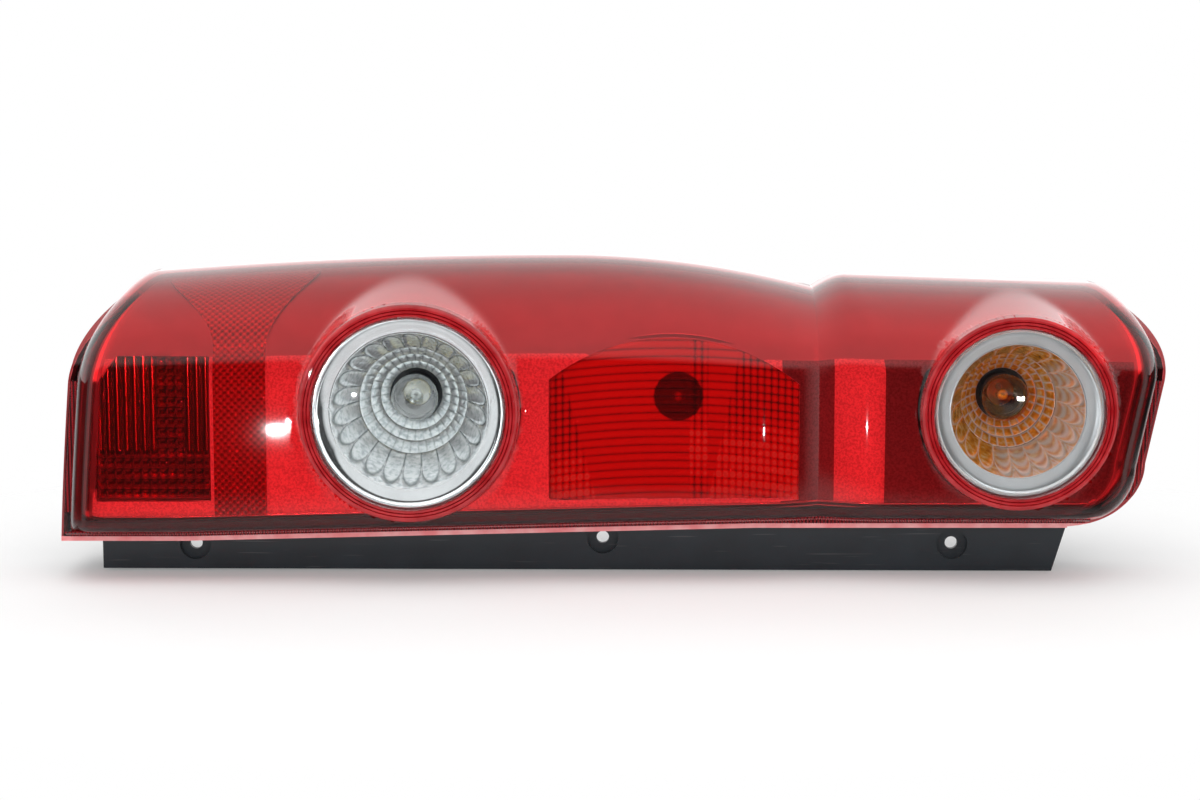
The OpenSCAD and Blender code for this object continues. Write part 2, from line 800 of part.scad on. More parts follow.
module housing() {
  color("#17171a")
    difference() {
      union() {
        slab(tub_grid(housing_wall), tub_grid(0));
        flange_plate();
        for (h = screw_holes)
          intersection() {
            translate([h[0], -recess_depth, h[1]])
              rotate([-90, 0, 0])
                cylinder(h = recess_depth + flange_wall, r = recess_r + 2.4, $fn = 64);
            translate([h[0] - 20, -20, low_z(h[0]) - 38.8])
              cube([40, 40, 40]);
          }
        for (x = [-250, -180, -130, -80, -40, 40, 90, 140, 228])
          translate([x - 1, 0, 0])
            rotate([0, 90, 0])
              rotate([0, 0, 90])
                linear_extrude(height = 2)
                  polygon([
                    [-recess_depth + 1, low_z(x) + 1], [-recess_depth + 1, 3 - flange_drop],
                    [flange_wall - recess_depth, 3 - flange_drop], [22, low_z(x) - 1],
                    [22, low_z(x) + 1]
                  ]);
        carrier_frame(0, 2.5, floor_depth + 1, collar_back);
        for (x = screw_xs)
          for (d = [-screw_dz, screw_dz])
            translate([x, floor_depth + 1, window_z + d])
              rotate([-90, 0, 0])
                cylinder(h = plate_front - floor_depth - 1, r = 4, $fn = 32);
        for (x = pin_xs)
          translate([x, wrap_depth - 1.5, pin_z(x)])
            rotate([-90, 0, 0])
              union() {
                cylinder(h = pin_reach - 1.5, r = pin_r, $fn = 48);
                translate([0, 0, pin_reach - 1.5 - eps])
                  cylinder(h = 3, r1 = pin_r, r2 = pin_r - 1.5, $fn = 48);
              }
        for (x = vent_xs)
          translate([x, floor_depth + 1, vent_z])
            rotate([-90, 0, 0])
              cylinder(h = 8, r = 4, $fn = 32);
      }
      for (h = screw_holes) {
        intersection() {
          translate([h[0], -recess_depth - 1, h[1]])
            rotate([-90, 0, 0])
              cylinder(h = recess_depth + 1, r = recess_r, $fn = 64);
          translate([h[0] - 20, -20, low_z(h[0]) - 40.4])
            cube([40, 40, 40]);
        }
        translate([h[0], -eps, h[1]])
          rotate([-90, 0, 0])
            cylinder(h = flange_wall + 1, r = screw_hole_r, $fn = 48);
      }
      for (x = bulb_xs)
        on_axis(x, floor_depth - 1)
          cylinder(h = housing_wall + 2, r = glass_r + 0.5, $fn = 64);
      for (x = screw_xs)
        for (d = [-screw_dz, screw_dz])
          translate([x, floor_depth + housing_wall, window_z + d])
            rotate([-90, 0, 0])
              cylinder(h = 20, r = 1.5, $fn = 24);
      for (x = post_xs)
        translate([x, floor_depth - 1, post_z(x)])
          rotate([-90, 0, 0])
            cylinder(h = housing_wall + 2, r = 1.7, $fn = 24);
      for (x = vent_xs)
        translate([x, floor_depth - 1, vent_z])
          rotate([-90, 0, 0])
            cylinder(h = 20, r = 2.4, $fn = 32);
    }
}

module vent_caps() {
  color("#232326")
    for (x = vent_xs)
      translate([x, floor_depth + housing_wall + 1.5, vent_z])
        rotate([-90, 0, 0])
          difference() {
            cylinder(h = 7, r = 5.8, $fn = 32);
            translate([0, 0, -1])
              cylinder(h = 6, r = 4, $fn = 32);
          }
}

module body_gasket() {
  color("#2c2c2e")
    carrier_frame(4.3, 4, floor_depth + housing_wall, floor_depth + housing_wall + 3);
}

module carrier_gasket() {
  color("#3a3a3c")
    carrier_frame(0, 2.5, collar_back, plate_front);
}

// The bulb carrier

cap_back = plate_front + carrier_wall + 6;
cap_front = cap_back - cap_len;
plug_x = -45;
pin_dx = [-9, -3, 3, 9];

module bulb_glass(x) {
  tip = cap_front - glass_len;
  on_axis(x, 0)
    rotate_extrude($fn = 64)
      polygon([
        [0, tip + glass_r], [glass_r, tip + glass_r], [glass_r, tip + 18],
        [cap_r - 0.8, cap_front - 4], [cap_r - 0.8, cap_front], [0, cap_front]
      ]);
  on_axis(x, tip + glass_r)
    sphere(r = glass_r, $fn = 64);
}

// Metal cap of a bulb, with the two pins that lock it in its socket
module bulb_cap(x) {
  on_axis(x, cap_front)
    union() {
      cylinder(h = cap_len - 2, r = cap_r - 0.2, $fn = 48);
      translate([0, 0, cap_len - 2])
        cylinder(h = 2, r1 = cap_r - 0.2, r2 = 4, $fn = 48);
      translate([-cap_r - 0.9, 0, cap_len - 7])
        rotate([0, 90, 0])
          cylinder(h = 2 * cap_r + 1.8, r = 0.9, $fn = 16);
    }
}

module reverse_bulb_glass() {
  color("#eef2f2", 0.4)
    bulb_glass(reverse_x);
}

module indicator_bulb_glass() {
  color("#d8821e", 0.7)
    bulb_glass(indicator_x);
}

module stop_bulb_glass() {
  color("#eef2f2", 0.4)
    bulb_glass(stop_x);
}

module fog_bulb_glass() {
  color("#eef2f2", 0.4)
    bulb_glass(fog_x);
}

module reverse_bulb_cap() {
  color("#c9b88a")
    bulb_cap(reverse_x);
}

module indicator_bulb_cap() {
  color("#c9b88a")
    bulb_cap(indicator_x);
}

module stop_bulb_cap() {
  color("#c9b88a")
    bulb_cap(stop_x);
}

module fog_bulb_cap() {
  color("#c9b88a")
    bulb_cap(fog_x);
}

module plug_pins() {
  for (d = pin_dx)
    translate([plug_x + d - 0.8, plate_front - 1.5, window_z - 0.4])
      cube([1.6, carrier_wall + 11.5, 0.8]);
}

module bulb_carrier() {
  socket_r = cap_r + socket_wall;
  color("#2b2b2e")
    difference() {
      union() {
        translate([carrier_left, plate_front, window_z - carrier_half])
          cube([carrier_right - carrier_left, carrier_wall, 2 * carrier_half]);
        for (x = bulb_xs)
          on_axis(x, cap_front)
            cylinder(h = cap_len + 2, r = socket_r, $fn = 64);
        translate([plug_x - 15, plate_front + eps, window_z - 9])
          cube([30, carrier_wall + 15, 18]);
      }
      for (x = bulb_xs) {
        on_axis(x, cap_front - 1)
          cylinder(h = cap_len + 1, r = cap_r + 0.1, $fn = 48);
        translate([x - cap_r - 1.3, cap_front - 1, window_z - 1.3])
          cube([2 * cap_r + 2.6, cap_len - 4, 2.6]);
      }
      translate([plug_x - 13, plate_front + carrier_wall, window_z - 7])
        cube([26, 20, 14]);
      plug_pins();
      for (x = screw_xs)
        for (d = [-screw_dz, screw_dz])
          translate([x, plate_front - 1, window_z + d])
            rotate([-90, 0, 0])
              cylinder(h = carrier_wall + 2, r = 1.8, $fn = 24);
    }
}

module contact_strips() {
  y = plate_front + carrier_wall;
  reach = cap_r + socket_wall;
  color("#c8a24a")
    union() {
      translate([fog_x - 6, y, window_z - 13])
        cube([indicator_x - fog_x + 12, 0.8, 2]);
      for (x = bulb_xs)
        translate([x - 1.5, y, window_z - 12])
          cube([3, 0.8, 12 - reach]);
    }
  color("#c8a24a")
    union() {
      translate([fog_x - 6, y, window_z + 11])
        cube([indicator_x - fog_x + 12, 0.8, 2]);
      for (x = bulb_xs)
        translate([x - 1.5, y, window_z + reach])
          cube([3, 0.8, 12 - reach]);
    }
}

module connector_pins() {
  color("#cdb36a")
    plug_pins();
}

module carrier_screws() {
  color("#9a9da0")
    for (x = screw_xs)
      for (d = [-screw_dz, screw_dz])
        translate([x, 0, window_z + d])
          rotate([-90, 0, 0])
            union() {
              translate([0, 0, plate_front - 5])
                cylinder(h = 5 + carrier_wall + 0.5, r = 1.4, $fn = 24);
              translate([0, 0, plate_front + carrier_wall])
                cylinder(h = 2, r = 3.4, $fn = 32);
            }
}

housing();
outer_lens();
reverse_window();
indicator_window();
reverse_ring();
indicator_ring();
inner_bezel();
reverse_reflector();
indicator_reflector();
stop_reflector();
fog_reflector();
stop_optic();
fog_optic();
reflex_panel();
reverse_bulb_glass();
reverse_bulb_cap();
indicator_bulb_glass();
indicator_bulb_cap();
stop_bulb_glass();
stop_bulb_cap();
fog_bulb_glass();
fog_bulb_cap();
bulb_carrier();
contact_strips();
connector_pins();
carrier_gasket();
body_gasket();
carrier_screws();
bezel_screws();
vent_caps();
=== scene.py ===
"""Looks of a van's rear lamp cluster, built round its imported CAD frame."""

import math

import bmesh
import bpy
import numpy as np
from bpy.props import FloatProperty, IntProperty, PointerProperty, StringProperty
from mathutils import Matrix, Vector


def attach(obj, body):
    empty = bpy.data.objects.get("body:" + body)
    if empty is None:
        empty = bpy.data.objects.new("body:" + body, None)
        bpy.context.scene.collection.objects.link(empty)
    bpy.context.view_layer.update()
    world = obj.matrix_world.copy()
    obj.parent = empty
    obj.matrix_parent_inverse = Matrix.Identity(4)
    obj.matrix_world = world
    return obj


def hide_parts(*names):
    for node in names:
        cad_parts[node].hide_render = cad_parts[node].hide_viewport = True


bl_info = {
    "name": "Rear lamp cluster",
    "version": (1, 0, 0),
    "blender": (4, 5, 0),
    "location": "View3D > Sidebar > Lamp",
    "description": "Surfaces, finishes and stage of a van's rear lamp cluster",
    "category": "Object",
}

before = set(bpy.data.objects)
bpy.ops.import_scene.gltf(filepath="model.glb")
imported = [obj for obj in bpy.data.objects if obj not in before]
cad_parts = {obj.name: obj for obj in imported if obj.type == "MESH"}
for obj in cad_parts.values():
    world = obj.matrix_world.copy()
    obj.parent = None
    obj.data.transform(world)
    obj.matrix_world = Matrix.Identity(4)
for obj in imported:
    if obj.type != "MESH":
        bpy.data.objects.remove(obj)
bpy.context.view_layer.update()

# Sizes of the solids, in millimetres, in the frame of the middle screw hole
MM = 0.001
RIM_Y, FACE_RISE, LAND, WALL_RUN, END_RUN = -15.0, 23.0, 5.0, 9.0, 14.0
FRONT_Y, SKIRT_DEPTH, RIDGE_LEAN, TOP_END = RIM_Y - FACE_RISE, 6.0, 14.0, 10.8
END_ROUND, END_ROUND_Z, END_ROUND_HEIGHT = 65.0, 84.0, 55.0
LENS_WALL, BEZEL_GAP, BEZEL_WALL = 2.6, 5.0, 1.8
CROWN_Z, LEFT_Z, DIP_Z, RIDGE_Z, RIGHT_Z = 147.5, 137.0, 130.0, 137.0, 132.5
CROWN_X, DIP_X, RIDGE_X, DIP_DEPTH, DIP_RUN = -22.0, 112.0, 144.0, 9.0, 35.0
SHOULDER_Z, SHOULDER_Y, CROWN_RISE, LEAN, WRAP_Y = 86.0, 30.0, 12.0, 1.5, 62.0
LEFT_X, RIGHT_X = -285.0, 295.0
WINDOW_Z, REVERSE_X, REVERSE_R, INDICATOR_X, INDICATOR_R = 73.0, -100.0, 50.0, 214.0, 44.0
COLLAR_Y, COLLAR_WIDTH, COLLAR_LENGTH, HOOD_ANGLE = -44.0, 6.0, 13.0, 13.0
WINDOW_Y, WINDOW_BACK, WINDOW_WALL = -50.0, -39.7, 3.0
BOWL_FRONT, BOWL_BACK, HOLE_R, RING_WIDTH, FIT = -33.0, 26.0, 14.0, 9.0, 0.3
STOP_X, STOP_LEFT, STOP_RIGHT, STOP_LOW, OPTIC_BACK = 39.0, -28.0, 102.0, 25.5, -24.5
STOP_ARC_X, STOP_ARC_Z, STOP_ARC_R = 35.0, 7.0, 103.5
FOG_X, FOG_LEFT, FOG_RIGHT, FOG_HIGH, FOG_CUT = -233.0, -263.0, -203.0, 101.0, 12.0
FOG_BAR, FOG_BLOCK = 4.6, 5.4
GLASS_R, GLASS_TIP, CAP_R, CAP_FRONT, CAP_BACK = 12.5, -0.5, 7.6, 32.5, 50.5
THROAT_Z, THROAT_Y = 95.5, -30.6
LAMPS = ((REVERSE_X, REVERSE_R, HOOD_ANGLE), (INDICATOR_X, INDICATOR_R, HOOD_ANGLE * 0.7))


# Values


class LampSizes(bpy.types.PropertyGroup):
    """Sizes of the fine forms, in millimetres."""

    grid: FloatProperty(
        name="Lens grid", description="Distance between the lens's grid lines", default=2.0, min=1.0
    )
    rim_pitch: FloatProperty(
        name="Rim rib pitch", description="Distance between the ribs on the lens's land", default=1.25
    )
    optic_pitch: FloatProperty(
        name="Optic rib pitch", description="Height of a rib of the stop lamp's inner lens", default=4.2
    )
    cell_pitch: FloatProperty(
        name="Optic cell pitch", description="Width of a cell of the stop lamp's inner lens", default=3.6
    )
    reflex_pitch: FloatProperty(
        name="Reflex pitch", description="Distance between the reflex panel's prisms", default=2.7
    )
    petals: IntProperty(
        name="Petals", description="Number of scallops round the reversing lamp's bowl", default=22
    )


class LampColours(bpy.types.PropertyGroup):
    """Colours as sRGB hex values."""

    lens: StringProperty(name="Lens", description="Tint of one face of the red lens", default="#F9A4A8")
    lens_edge: StringProperty(name="Lens edge", description="Red acrylic seen edge-on", default="#8E0A12")
    optic: StringProperty(name="Optic", description="Red inner lenses", default="#F0343A")
    clear: StringProperty(name="Window", description="Clear polycarbonate", default="#FDFEFE")
    plating: StringProperty(name="Plating", description="Vacuum-plated aluminium", default="#ECEEF0")
    satin: StringProperty(name="Satin plating", description="The indicator's ring", default="#C8CBCE")
    amber: StringProperty(name="Amber", description="Light in the indicator's bowl", default="#F0A634")
    housing: StringProperty(name="Housing", description="Black moulded housing", default="#1B2126")
    brass: StringProperty(name="Brass", description="Bulb caps and contacts", default="#C8B26E")
    foam: StringProperty(name="Foam", description="Cellular rubber seals", default="#232325")
    zinc: StringProperty(name="Zinc", description="Zinc-plated screws", default="#A8AAAC")


class LampStage(bpy.types.PropertyGroup):
    """The camera, the lamps and the floor."""

    elevation: FloatProperty(
        name="Elevation", description="Camera above the horizon", default=math.radians(9), subtype="ANGLE"
    )
    distance: FloatProperty(name="Distance", description="Camera to target", default=1.45, unit="LENGTH")
    focal: FloatProperty(name="Focal length", description="In millimetres", default=83.65)
    overhead: FloatProperty(name="Overhead", description="Overhead panel, in watts", default=6.0)
    front: FloatProperty(name="Front", description="Front panel, in watts", default=22.0)
    back: FloatProperty(name="Back", description="Panel behind and above, in watts", default=3.2)
    spark: FloatProperty(name="Spark", description="Small front lamp, in watts", default=1.8)
    floor: FloatProperty(name="Floor", description="Height of the floor", default=-0.0178, unit="LENGTH")


# Mesh helpers


def mix(a, b, t):
    """The value t of the way from a to b."""
    return a + (b - a) * t


def ease(t):
    """A step from 0 to 1 that starts and ends level."""
    t = np.clip(t, 0, 1)
    return t * t * (3 - 2 * t)


def smooth_min(a, b, width):
    """The lower of two heights, rounded over width where they cross."""
    h = np.clip(0.5 + 0.5 * (b - a) / width, 0, 1)
    return mix(b, a, h) - width * h * (1 - h)


def cells(m, n, wrap_u=False, wrap_v=False):
    """Corners of the quads of an m by n grid, as rows of four indices."""
    i, j = np.meshgrid(np.arange(m - (not wrap_u)), np.arange(n - (not wrap_v)), indexing="ij")
    i, j = i.ravel(), j.ravel()
    k, l = (i + 1) % m, (j + 1) % n
    return np.stack([i * n + j, k * n + j, k * n + l, i * n + l], -1)


def sheet(grid, finish=0, wrap_u=False, wrap_v=False, **values):
    """A grid of points as points, faces, one finish index for each face and named values per point."""
    m, n = grid.shape[:2]
    faces = cells(m, n, wrap_u, wrap_v)
    flat = {k: np.broadcast_to(v, (m, n)).ravel() for k, v in values.items()}
    return grid.reshape(-1, 3), faces, np.full(len(faces), finish), flat


def join(*parts):
    """Several sheets as one. A value that a sheet lacks is 0 on it."""
    starts = np.cumsum([0] + [len(p[0]) for p in parts])
    names = sorted({k for p in parts for k in p[3]})
    return (
        np.concatenate([p[0] for p in parts]),
        np.concatenate([p[1] + s for p, s in zip(parts, starts)]),
        np.concatenate([p[2] for p in parts]),
        {k: np.concatenate([p[3].get(k, np.zeros(len(p[0]))) for p in parts]) for k in names},
    )


def rims(outer, inner):
    """The four strips that join the borders of two grids of the same layout."""
    return [
        sheet(np.stack([a, b]))
        for a, b in ((outer[0], inner[0]), (outer[-1], inner[-1]),
                     (outer[:, 0], inner[:, 0]), (outer[:, -1], inner[:, -1]))
    ]


def shell(outer, inner, **values):
    """A closed wall between two grids of the same layout."""
    return join(sheet(outer, **values), sheet(inner), *rims(outer, inner))


def lathe(profile, x, segments, closed=True):
    """A profile of radius and depth, turned round the lamp axis through x at the windows' height."""
    profile = np.asarray(profile, float)
    turn = np.linspace(0, 2 * math.pi, segments, endpoint=False)[:, None]
    radius, depth = profile[None, :, 0], profile[None, :, 1]
    grid = np.stack(np.broadcast_arrays(
        x + radius * np.cos(turn), depth + 0 * turn, WINDOW_Z + radius * np.sin(turn)
    ), -1)
    return sheet(grid, 0, True, closed)


def make(name, parts, finishes, stands_for=(), angle=32.0, crease=None):
    """Welds the points, drops flat corners, turns the faces outward and puts the mesh on the root."""
    points, faces, finish, values = parts
    keys, first, back = np.unique(np.round(points, 4), axis=0, return_index=True, return_inverse=True)
    faces = back.reshape(-1)[faces]
    same = faces == np.roll(faces, -1, axis=1)
    count = 4 - same.sum(1)
    folded = (faces[:, 0] == faces[:, 2]) | (faces[:, 1] == faces[:, 3])
    whole, three = (count == 4) & ~folded, (count == 3) & ~folded
    order = np.argsort(same[three], axis=1, kind="stable")[:, :3]
    corners = np.take_along_axis(faces[three], order, 1)
    loops = np.concatenate([faces[whole].ravel(), corners.ravel()])
    totals = np.concatenate([np.full(whole.sum(), 4), np.full(three.sum(), 3)])
    mesh = bpy.data.meshes.new(name)
    mesh.vertices.add(len(keys))
    mesh.vertices.foreach_set("co", (keys * MM).astype(np.float32).ravel())
    mesh.loops.add(len(loops))
    mesh.loops.foreach_set("vertex_index", loops.astype(np.int32))
    mesh.polygons.add(len(totals))
    starts = np.concatenate([[0], np.cumsum(totals)[:-1]])
    mesh.polygons.foreach_set("loop_start", starts.astype(np.int32))
    mesh.polygons.foreach_set(
        "material_index", np.concatenate([finish[whole], finish[three]]).astype(np.int32)
    )
    for key, value in values.items():
        mesh.attributes.new(key, "FLOAT", "POINT").data.foreach_set(
            "value", value[first].astype(np.float32)
        )
    mesh.update(calc_edges=True)
    mesh.validate()
    work = bmesh.new()
    work.from_mesh(mesh)
    loose = [v for v in work.verts if not v.link_faces]
    bmesh.ops.delete(work, geom=loose, context="VERTS")
    bmesh.ops.recalc_face_normals(work, faces=work.faces)
    work.to_mesh(mesh)
    work.free()
    mesh.shade_smooth()
    mesh.set_sharp_from_angle(angle=math.radians(angle))
    if crease is not None:
        flags = np.zeros(len(mesh.vertices), np.float32)
        mesh.attributes[crease].data.foreach_get("value", flags)
        ends = np.zeros(len(mesh.edges) * 2, np.int32)
        mesh.edges.foreach_get("vertices", ends)
        sharp = np.zeros(len(mesh.edges), bool)
        mesh.edges.foreach_get("use_edge_sharp", sharp)
        sharp |= (flags[ends.reshape(-1, 2)] > 0.5).all(1)
        mesh.edges.foreach_set("use_edge_sharp", sharp)
    for finish_made in finishes:
        mesh.materials.append(finish_made)
    piece = bpy.data.objects.new(name, mesh)
    bpy.context.scene.collection.objects.link(piece)
    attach(piece, "root")
    if stands_for:
        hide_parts(*stands_for)
    return piece


# The lens surface


def low_z(x):
    """Height of the lower edge: it climbs 7 mm between the fog lamp end and past the middle."""
    return 1 + 7 * np.clip((x + 220) / 300, 0, 1)


def ridge_at(z):
    """Place of the ridge, which leans towards the fog lamp end as it climbs the shoulder."""
    return RIDGE_X - RIDGE_LEAN * np.clip((z - 92) / 40, 0, 1) ** 1.4


def top_z(x):
    """Height of the crown: two parabolas, a quarter sine up to the ridge and a straight fall."""
    left = CROWN_Z - (CROWN_Z - LEFT_Z) * ((CROWN_X - x) / (CROWN_X + 260)) ** 2
    middle = CROWN_Z - (CROWN_Z - DIP_Z) * ((x - CROWN_X) / (DIP_X - CROWN_X)) ** 2
    climb = DIP_Z + (RIDGE_Z - DIP_Z) * np.sin(
        math.pi / 2 * np.clip((x - DIP_X) / (RIDGE_X - RIDGE_LEAN - DIP_X), 0, 1)
    )
    right = RIDGE_Z - (RIDGE_Z - RIGHT_Z) * (x - RIDGE_X + RIDGE_LEAN) / 130
    before = [x < CROWN_X, x < DIP_X, x < RIDGE_X - RIDGE_LEAN]
    return np.select(before, [left, middle, climb], right)


def dip_at(x, ridge):
    """How far the front is set back before the ridge, from 0 to 1."""
    s = np.clip((x - DIP_X) / (ridge - DIP_X), 0, 1)
    fall = np.clip((x - DIP_X + DIP_RUN) / DIP_RUN, 0, 1) ** 2
    climb = 1 - 0.6 * np.sin(math.pi / 2 * s) - 0.4 * s
    return np.select([x < DIP_X, x < ridge], [fall, climb], 0.0)


def corner(t):
    """One minus the sine of the angle whose cosine is t."""
    return 1 - np.sqrt(1 - np.clip(t, 0, 1) ** 2)


def left_x(z):
    """The fog lamp end at height z: it leans in by 7 mm and is rounded over the shoulder."""
    rounding = END_ROUND * corner((z - END_ROUND_Z) / END_ROUND_HEIGHT)
    return LEFT_X + 7 * (np.clip(z, 0, 95) / 95) ** 1.3 + rounding


def right_x(z):
    """The indicator end at height z: it leans out by 11 mm and is rounded below and above."""
    rounding = END_ROUND * corner((z - END_ROUND_Z) / END_ROUND_HEIGHT)
    return RIGHT_X - 11 + 11 * (np.maximum(z, 40) - 40) / 57 - 40 * corner((40 - z) / 34) - rounding


def rise(d):
    """A quarter ellipse from the land to the full height of the lens over the end run."""
    return np.sqrt(1 - (1 - np.clip(d / END_RUN, 0, 1)) ** 2)


SKIRT, LAND_ROW, WALL_ROW, FACE_ROW, SHOULDER_ROW, TOP_ROW, REAR_ROW, REAR_LAND, REAR_SKIRT = range(9)


def rows(step, first=SKIRT, last=REAR_SKIRT, wall=27):
    """Rows of the profile from the lower skirt over the front to the wrapped side's skirt.

    They lie about step apart. The lower rounding is given rows as if it were wall long.
    """
    def run(kind, a, b, length, skip=True):
        """Rows of one kind from a to b, without the first one where it repeats the last."""
        n = max(2, int(round(length / step)))
        return [(kind, t) for t in np.linspace(a, b, n + 1)[1 if skip else 0:]]

    found = [(SKIRT, 0.0), (LAND_ROW, 0.0)]
    found += [(LAND_ROW, t) for t in (0.14, 0.29, 0.5, 0.75, 1)]
    found += run(WALL_ROW, 0, 90, wall, False)
    found += run(FACE_ROW, 0, 1, 70)
    found += run(SHOULDER_ROW, 0, 90, 96)
    found += run(TOP_ROW, 0, 1, 16)
    found += run(REAR_ROW, 60, 0, 13, False)
    found += run(REAR_LAND, 0, 1, 5)
    found += [(REAR_SKIRT, 0.0)]
    found = [f for f in found if first <= f[0] <= last]
    return np.array([f[0] for f in found]), np.array([f[1] for f in found])


LEFT_END, TO_DIP, TO_RIDGE, TO_RIGHT, RIGHT_END, REFLEX, AT_X = range(7)


def stations(step):
    """Stations along the lens, with grid lines on the dip and on the ridge."""
    turn = np.radians([18, 34, 48, 60, 70, 80, 90])
    ends = [-1, 0, 1.2, 2.5, 3.8, 5] + list(5 + END_RUN * (1 - np.cos(turn)))
    found = [(LEFT_END, d) for d in ends]
    for kind, length in ((TO_DIP, 378), (TO_RIDGE, 32), (TO_RIGHT, 132)):
        n = int(round(length / step))
        found += [(kind, t) for t in np.linspace(0, 1, n + 1)[1:]]
    found = found[:-1] + [(RIGHT_END, d) for d in ends[::-1]]
    return np.array([f[0] for f in found]), np.array([f[1] for f in found])


def skin(along, across, inset=0.0):
    """The lens's surface, set in along its normal: stations along X by rows of the profile.

    The profile is a land, a quarter ellipse up to the front, a nearly flat front, a quarter
    ellipse over the shoulder and the same quarter ellipse and land behind. The front is set
    back by the dip, and both ends fall to the land by the rise.
    """
    kind, val = along[0][:, None], along[1][:, None]
    row, t = across[0][None, :], across[1][None, :]
    v = np.radians(t)
    at_row = [row == k for k in range(REAR_SKIRT)]
    # The ends' place in each row follows from its mean height
    foot, crown = 5.0, 125.0
    rim_z = np.select(
        at_row[:TOP_ROW],
        [foot + 0 * t, foot + LAND * t, foot + LAND + WALL_RUN * (1 - np.cos(v)),
         mix(foot + LAND + WALL_RUN, SHOULDER_Z, t), SHOULDER_Z + (crown - SHOULDER_Z) * np.sin(v)],
        crown,
    )
    left, right = left_x(rim_z), right_x(rim_z)
    start, end = left + LAND + END_RUN + inset, right - LAND - END_RUN - inset
    ridge = ridge_at(rim_z)
    fan = np.clip((rim_z - 100) / 25, 0, None) ** 2
    d = np.maximum(val, 0)
    x = np.select(
        [kind == k for k in (LEFT_END, TO_DIP, TO_RIDGE, TO_RIGHT, REFLEX, AT_X)],
        [left + inset + d, mix(start, DIP_X, val), mix(DIP_X, ridge, val), mix(ridge, end, val),
         mix(-201 - 30 * fan, -174 + 26 * fan, val), val + 0 * rim_z],
        right - inset - d,
    )
    at_end = (kind == LEFT_END) | (kind == RIGHT_END)
    skirt_end = at_end & (val < 0)
    skirt_row = (row == SKIRT) | (row == REAR_SKIRT)
    x = x + np.where(skirt_row & at_end & (val == 0), np.where(kind == LEFT_END, 2.0, -2.0), 0.0)
    n = np.where(skirt_end, SKIRT_DEPTH, inset)
    c = np.where(skirt_end, 2.0, 0.0)
    e = np.where(at_end, rise(val - LAND), 1.0)
    g = DIP_DEPTH * dip_at(x, ridge)
    h = e * (FACE_RISE - g)
    low, top = low_z(x) + inset, top_z(x)
    round_run = WALL_RUN * (1 - np.cos(v))
    y = np.select(
        at_row,
        [RIM_Y + SKIRT_DEPTH + 0 * n, RIM_Y + n, RIM_Y + n - h * np.sin(v),
         RIM_Y + n - h + LEAN * e * t**1.5,
         SHOULDER_Y - mix(SHOULDER_Y - RIM_Y, SHOULDER_Y - FRONT_Y - LEAN - g, e) * np.cos(v)
         + n * np.cos(v),
         mix(SHOULDER_Y, WRAP_Y - inset - LAND - TOP_END, t),
         WRAP_Y - inset - LAND - round_run,
         WRAP_Y - inset - mix(LAND, c, t)],
        WRAP_Y - inset,
    )
    z = np.select(
        at_row,
        [low, low + mix(c, LAND, t), low + LAND + round_run, mix(low + (LAND + WALL_RUN), SHOULDER_Z, t),
         SHOULDER_Z + (mix(top - CROWN_RISE, top, e) - SHOULDER_Z - n) * np.sin(v),
         top - n - mix(mix(CROWN_RISE, 0, e), mix(CROWN_RISE, 0.6, e), t),
         top - n - CROWN_RISE + e * (CROWN_RISE - 1) * np.sin(v),
         top - n - CROWN_RISE],
        top - CROWN_RISE - SKIRT_DEPTH,
    )
    return np.stack(np.broadcast_arrays(x, y, z), -1)


def share_risen(along, across):
    """How far each point of the skin has risen from the land to the full height, from 0 to 1."""
    kind, val = along[0][:, None], along[1][:, None]
    row, t = across[0][None, :], across[1][None, :]
    at_end = (kind == LEFT_END) | (kind == RIGHT_END)
    e = np.where(at_end, rise(val - LAND), 1.0)
    v = np.radians(t)
    return e * np.select(
        [row <= LAND_ROW, row == WALL_ROW, row == REAR_ROW, row > REAR_ROW],
        [0 * t, np.sin(v), np.sin(v), 0 * t], 1.0,
    )


def hooded(grid, across, inset=0.0, foot=-100.0, tip=-60.0):
    """The skin drawn forward to the cone behind each window's collar, with a soft edge.

    The cone starts at the height foot and reaches no further forward than the depth tip.
    """
    grid = grid.copy()
    front = np.isin(across[0], (WALL_ROW, FACE_ROW, SHOULDER_ROW))[None, :]
    for x, r, angle in LAMPS:
        rho = np.hypot(grid[..., 0] - x, grid[..., 2] - WINDOW_Z) + inset
        cone = COLLAR_Y + (rho - r - COLLAR_WIDTH) / math.tan(math.radians(angle))
        cone = np.maximum(cone, tip)
        soft = 5.0 * ease((grid[..., 2] - 80) / 25) + 0.8
        near = front & (rho < r + 34) & (grid[..., 2] > foot)
        grid[..., 1] = np.where(near, smooth_min(grid[..., 1], cone, soft), grid[..., 1])
    return grid


def circle_outline(x, r):
    """Signed distance from a circle round a lamp's axis, less than 0 inside it."""
    return lambda px, pz: np.hypot(px - x, pz - WINDOW_Z) - r


def stop_outline(px, pz):
    """Signed distance from the stop lamp's opening: a rectangle under an arc."""
    middle, half = (STOP_LEFT + STOP_RIGHT) / 2, (STOP_RIGHT - STOP_LEFT) / 2
    sides = np.maximum(np.abs(px - middle) - half, STOP_LOW - pz)
    return np.maximum(sides, np.hypot(px - STOP_ARC_X, pz - STOP_ARC_Z) - STOP_ARC_R)


def fog_outline(px, pz):
    """Signed distance from the fog lamp's opening: a rectangle with one cut corner."""
    sides = np.maximum(FOG_LEFT + 3 * ease((pz - 30) / 60) - px, px - FOG_RIGHT)
    ends = np.maximum(STOP_LOW - pz, pz - FOG_HIGH)
    cut = (pz - FOG_HIGH + FOG_CUT) * 0.6 - (px - FOG_LEFT - 3) * 0.8
    return np.maximum(np.maximum(sides, ends), cut)


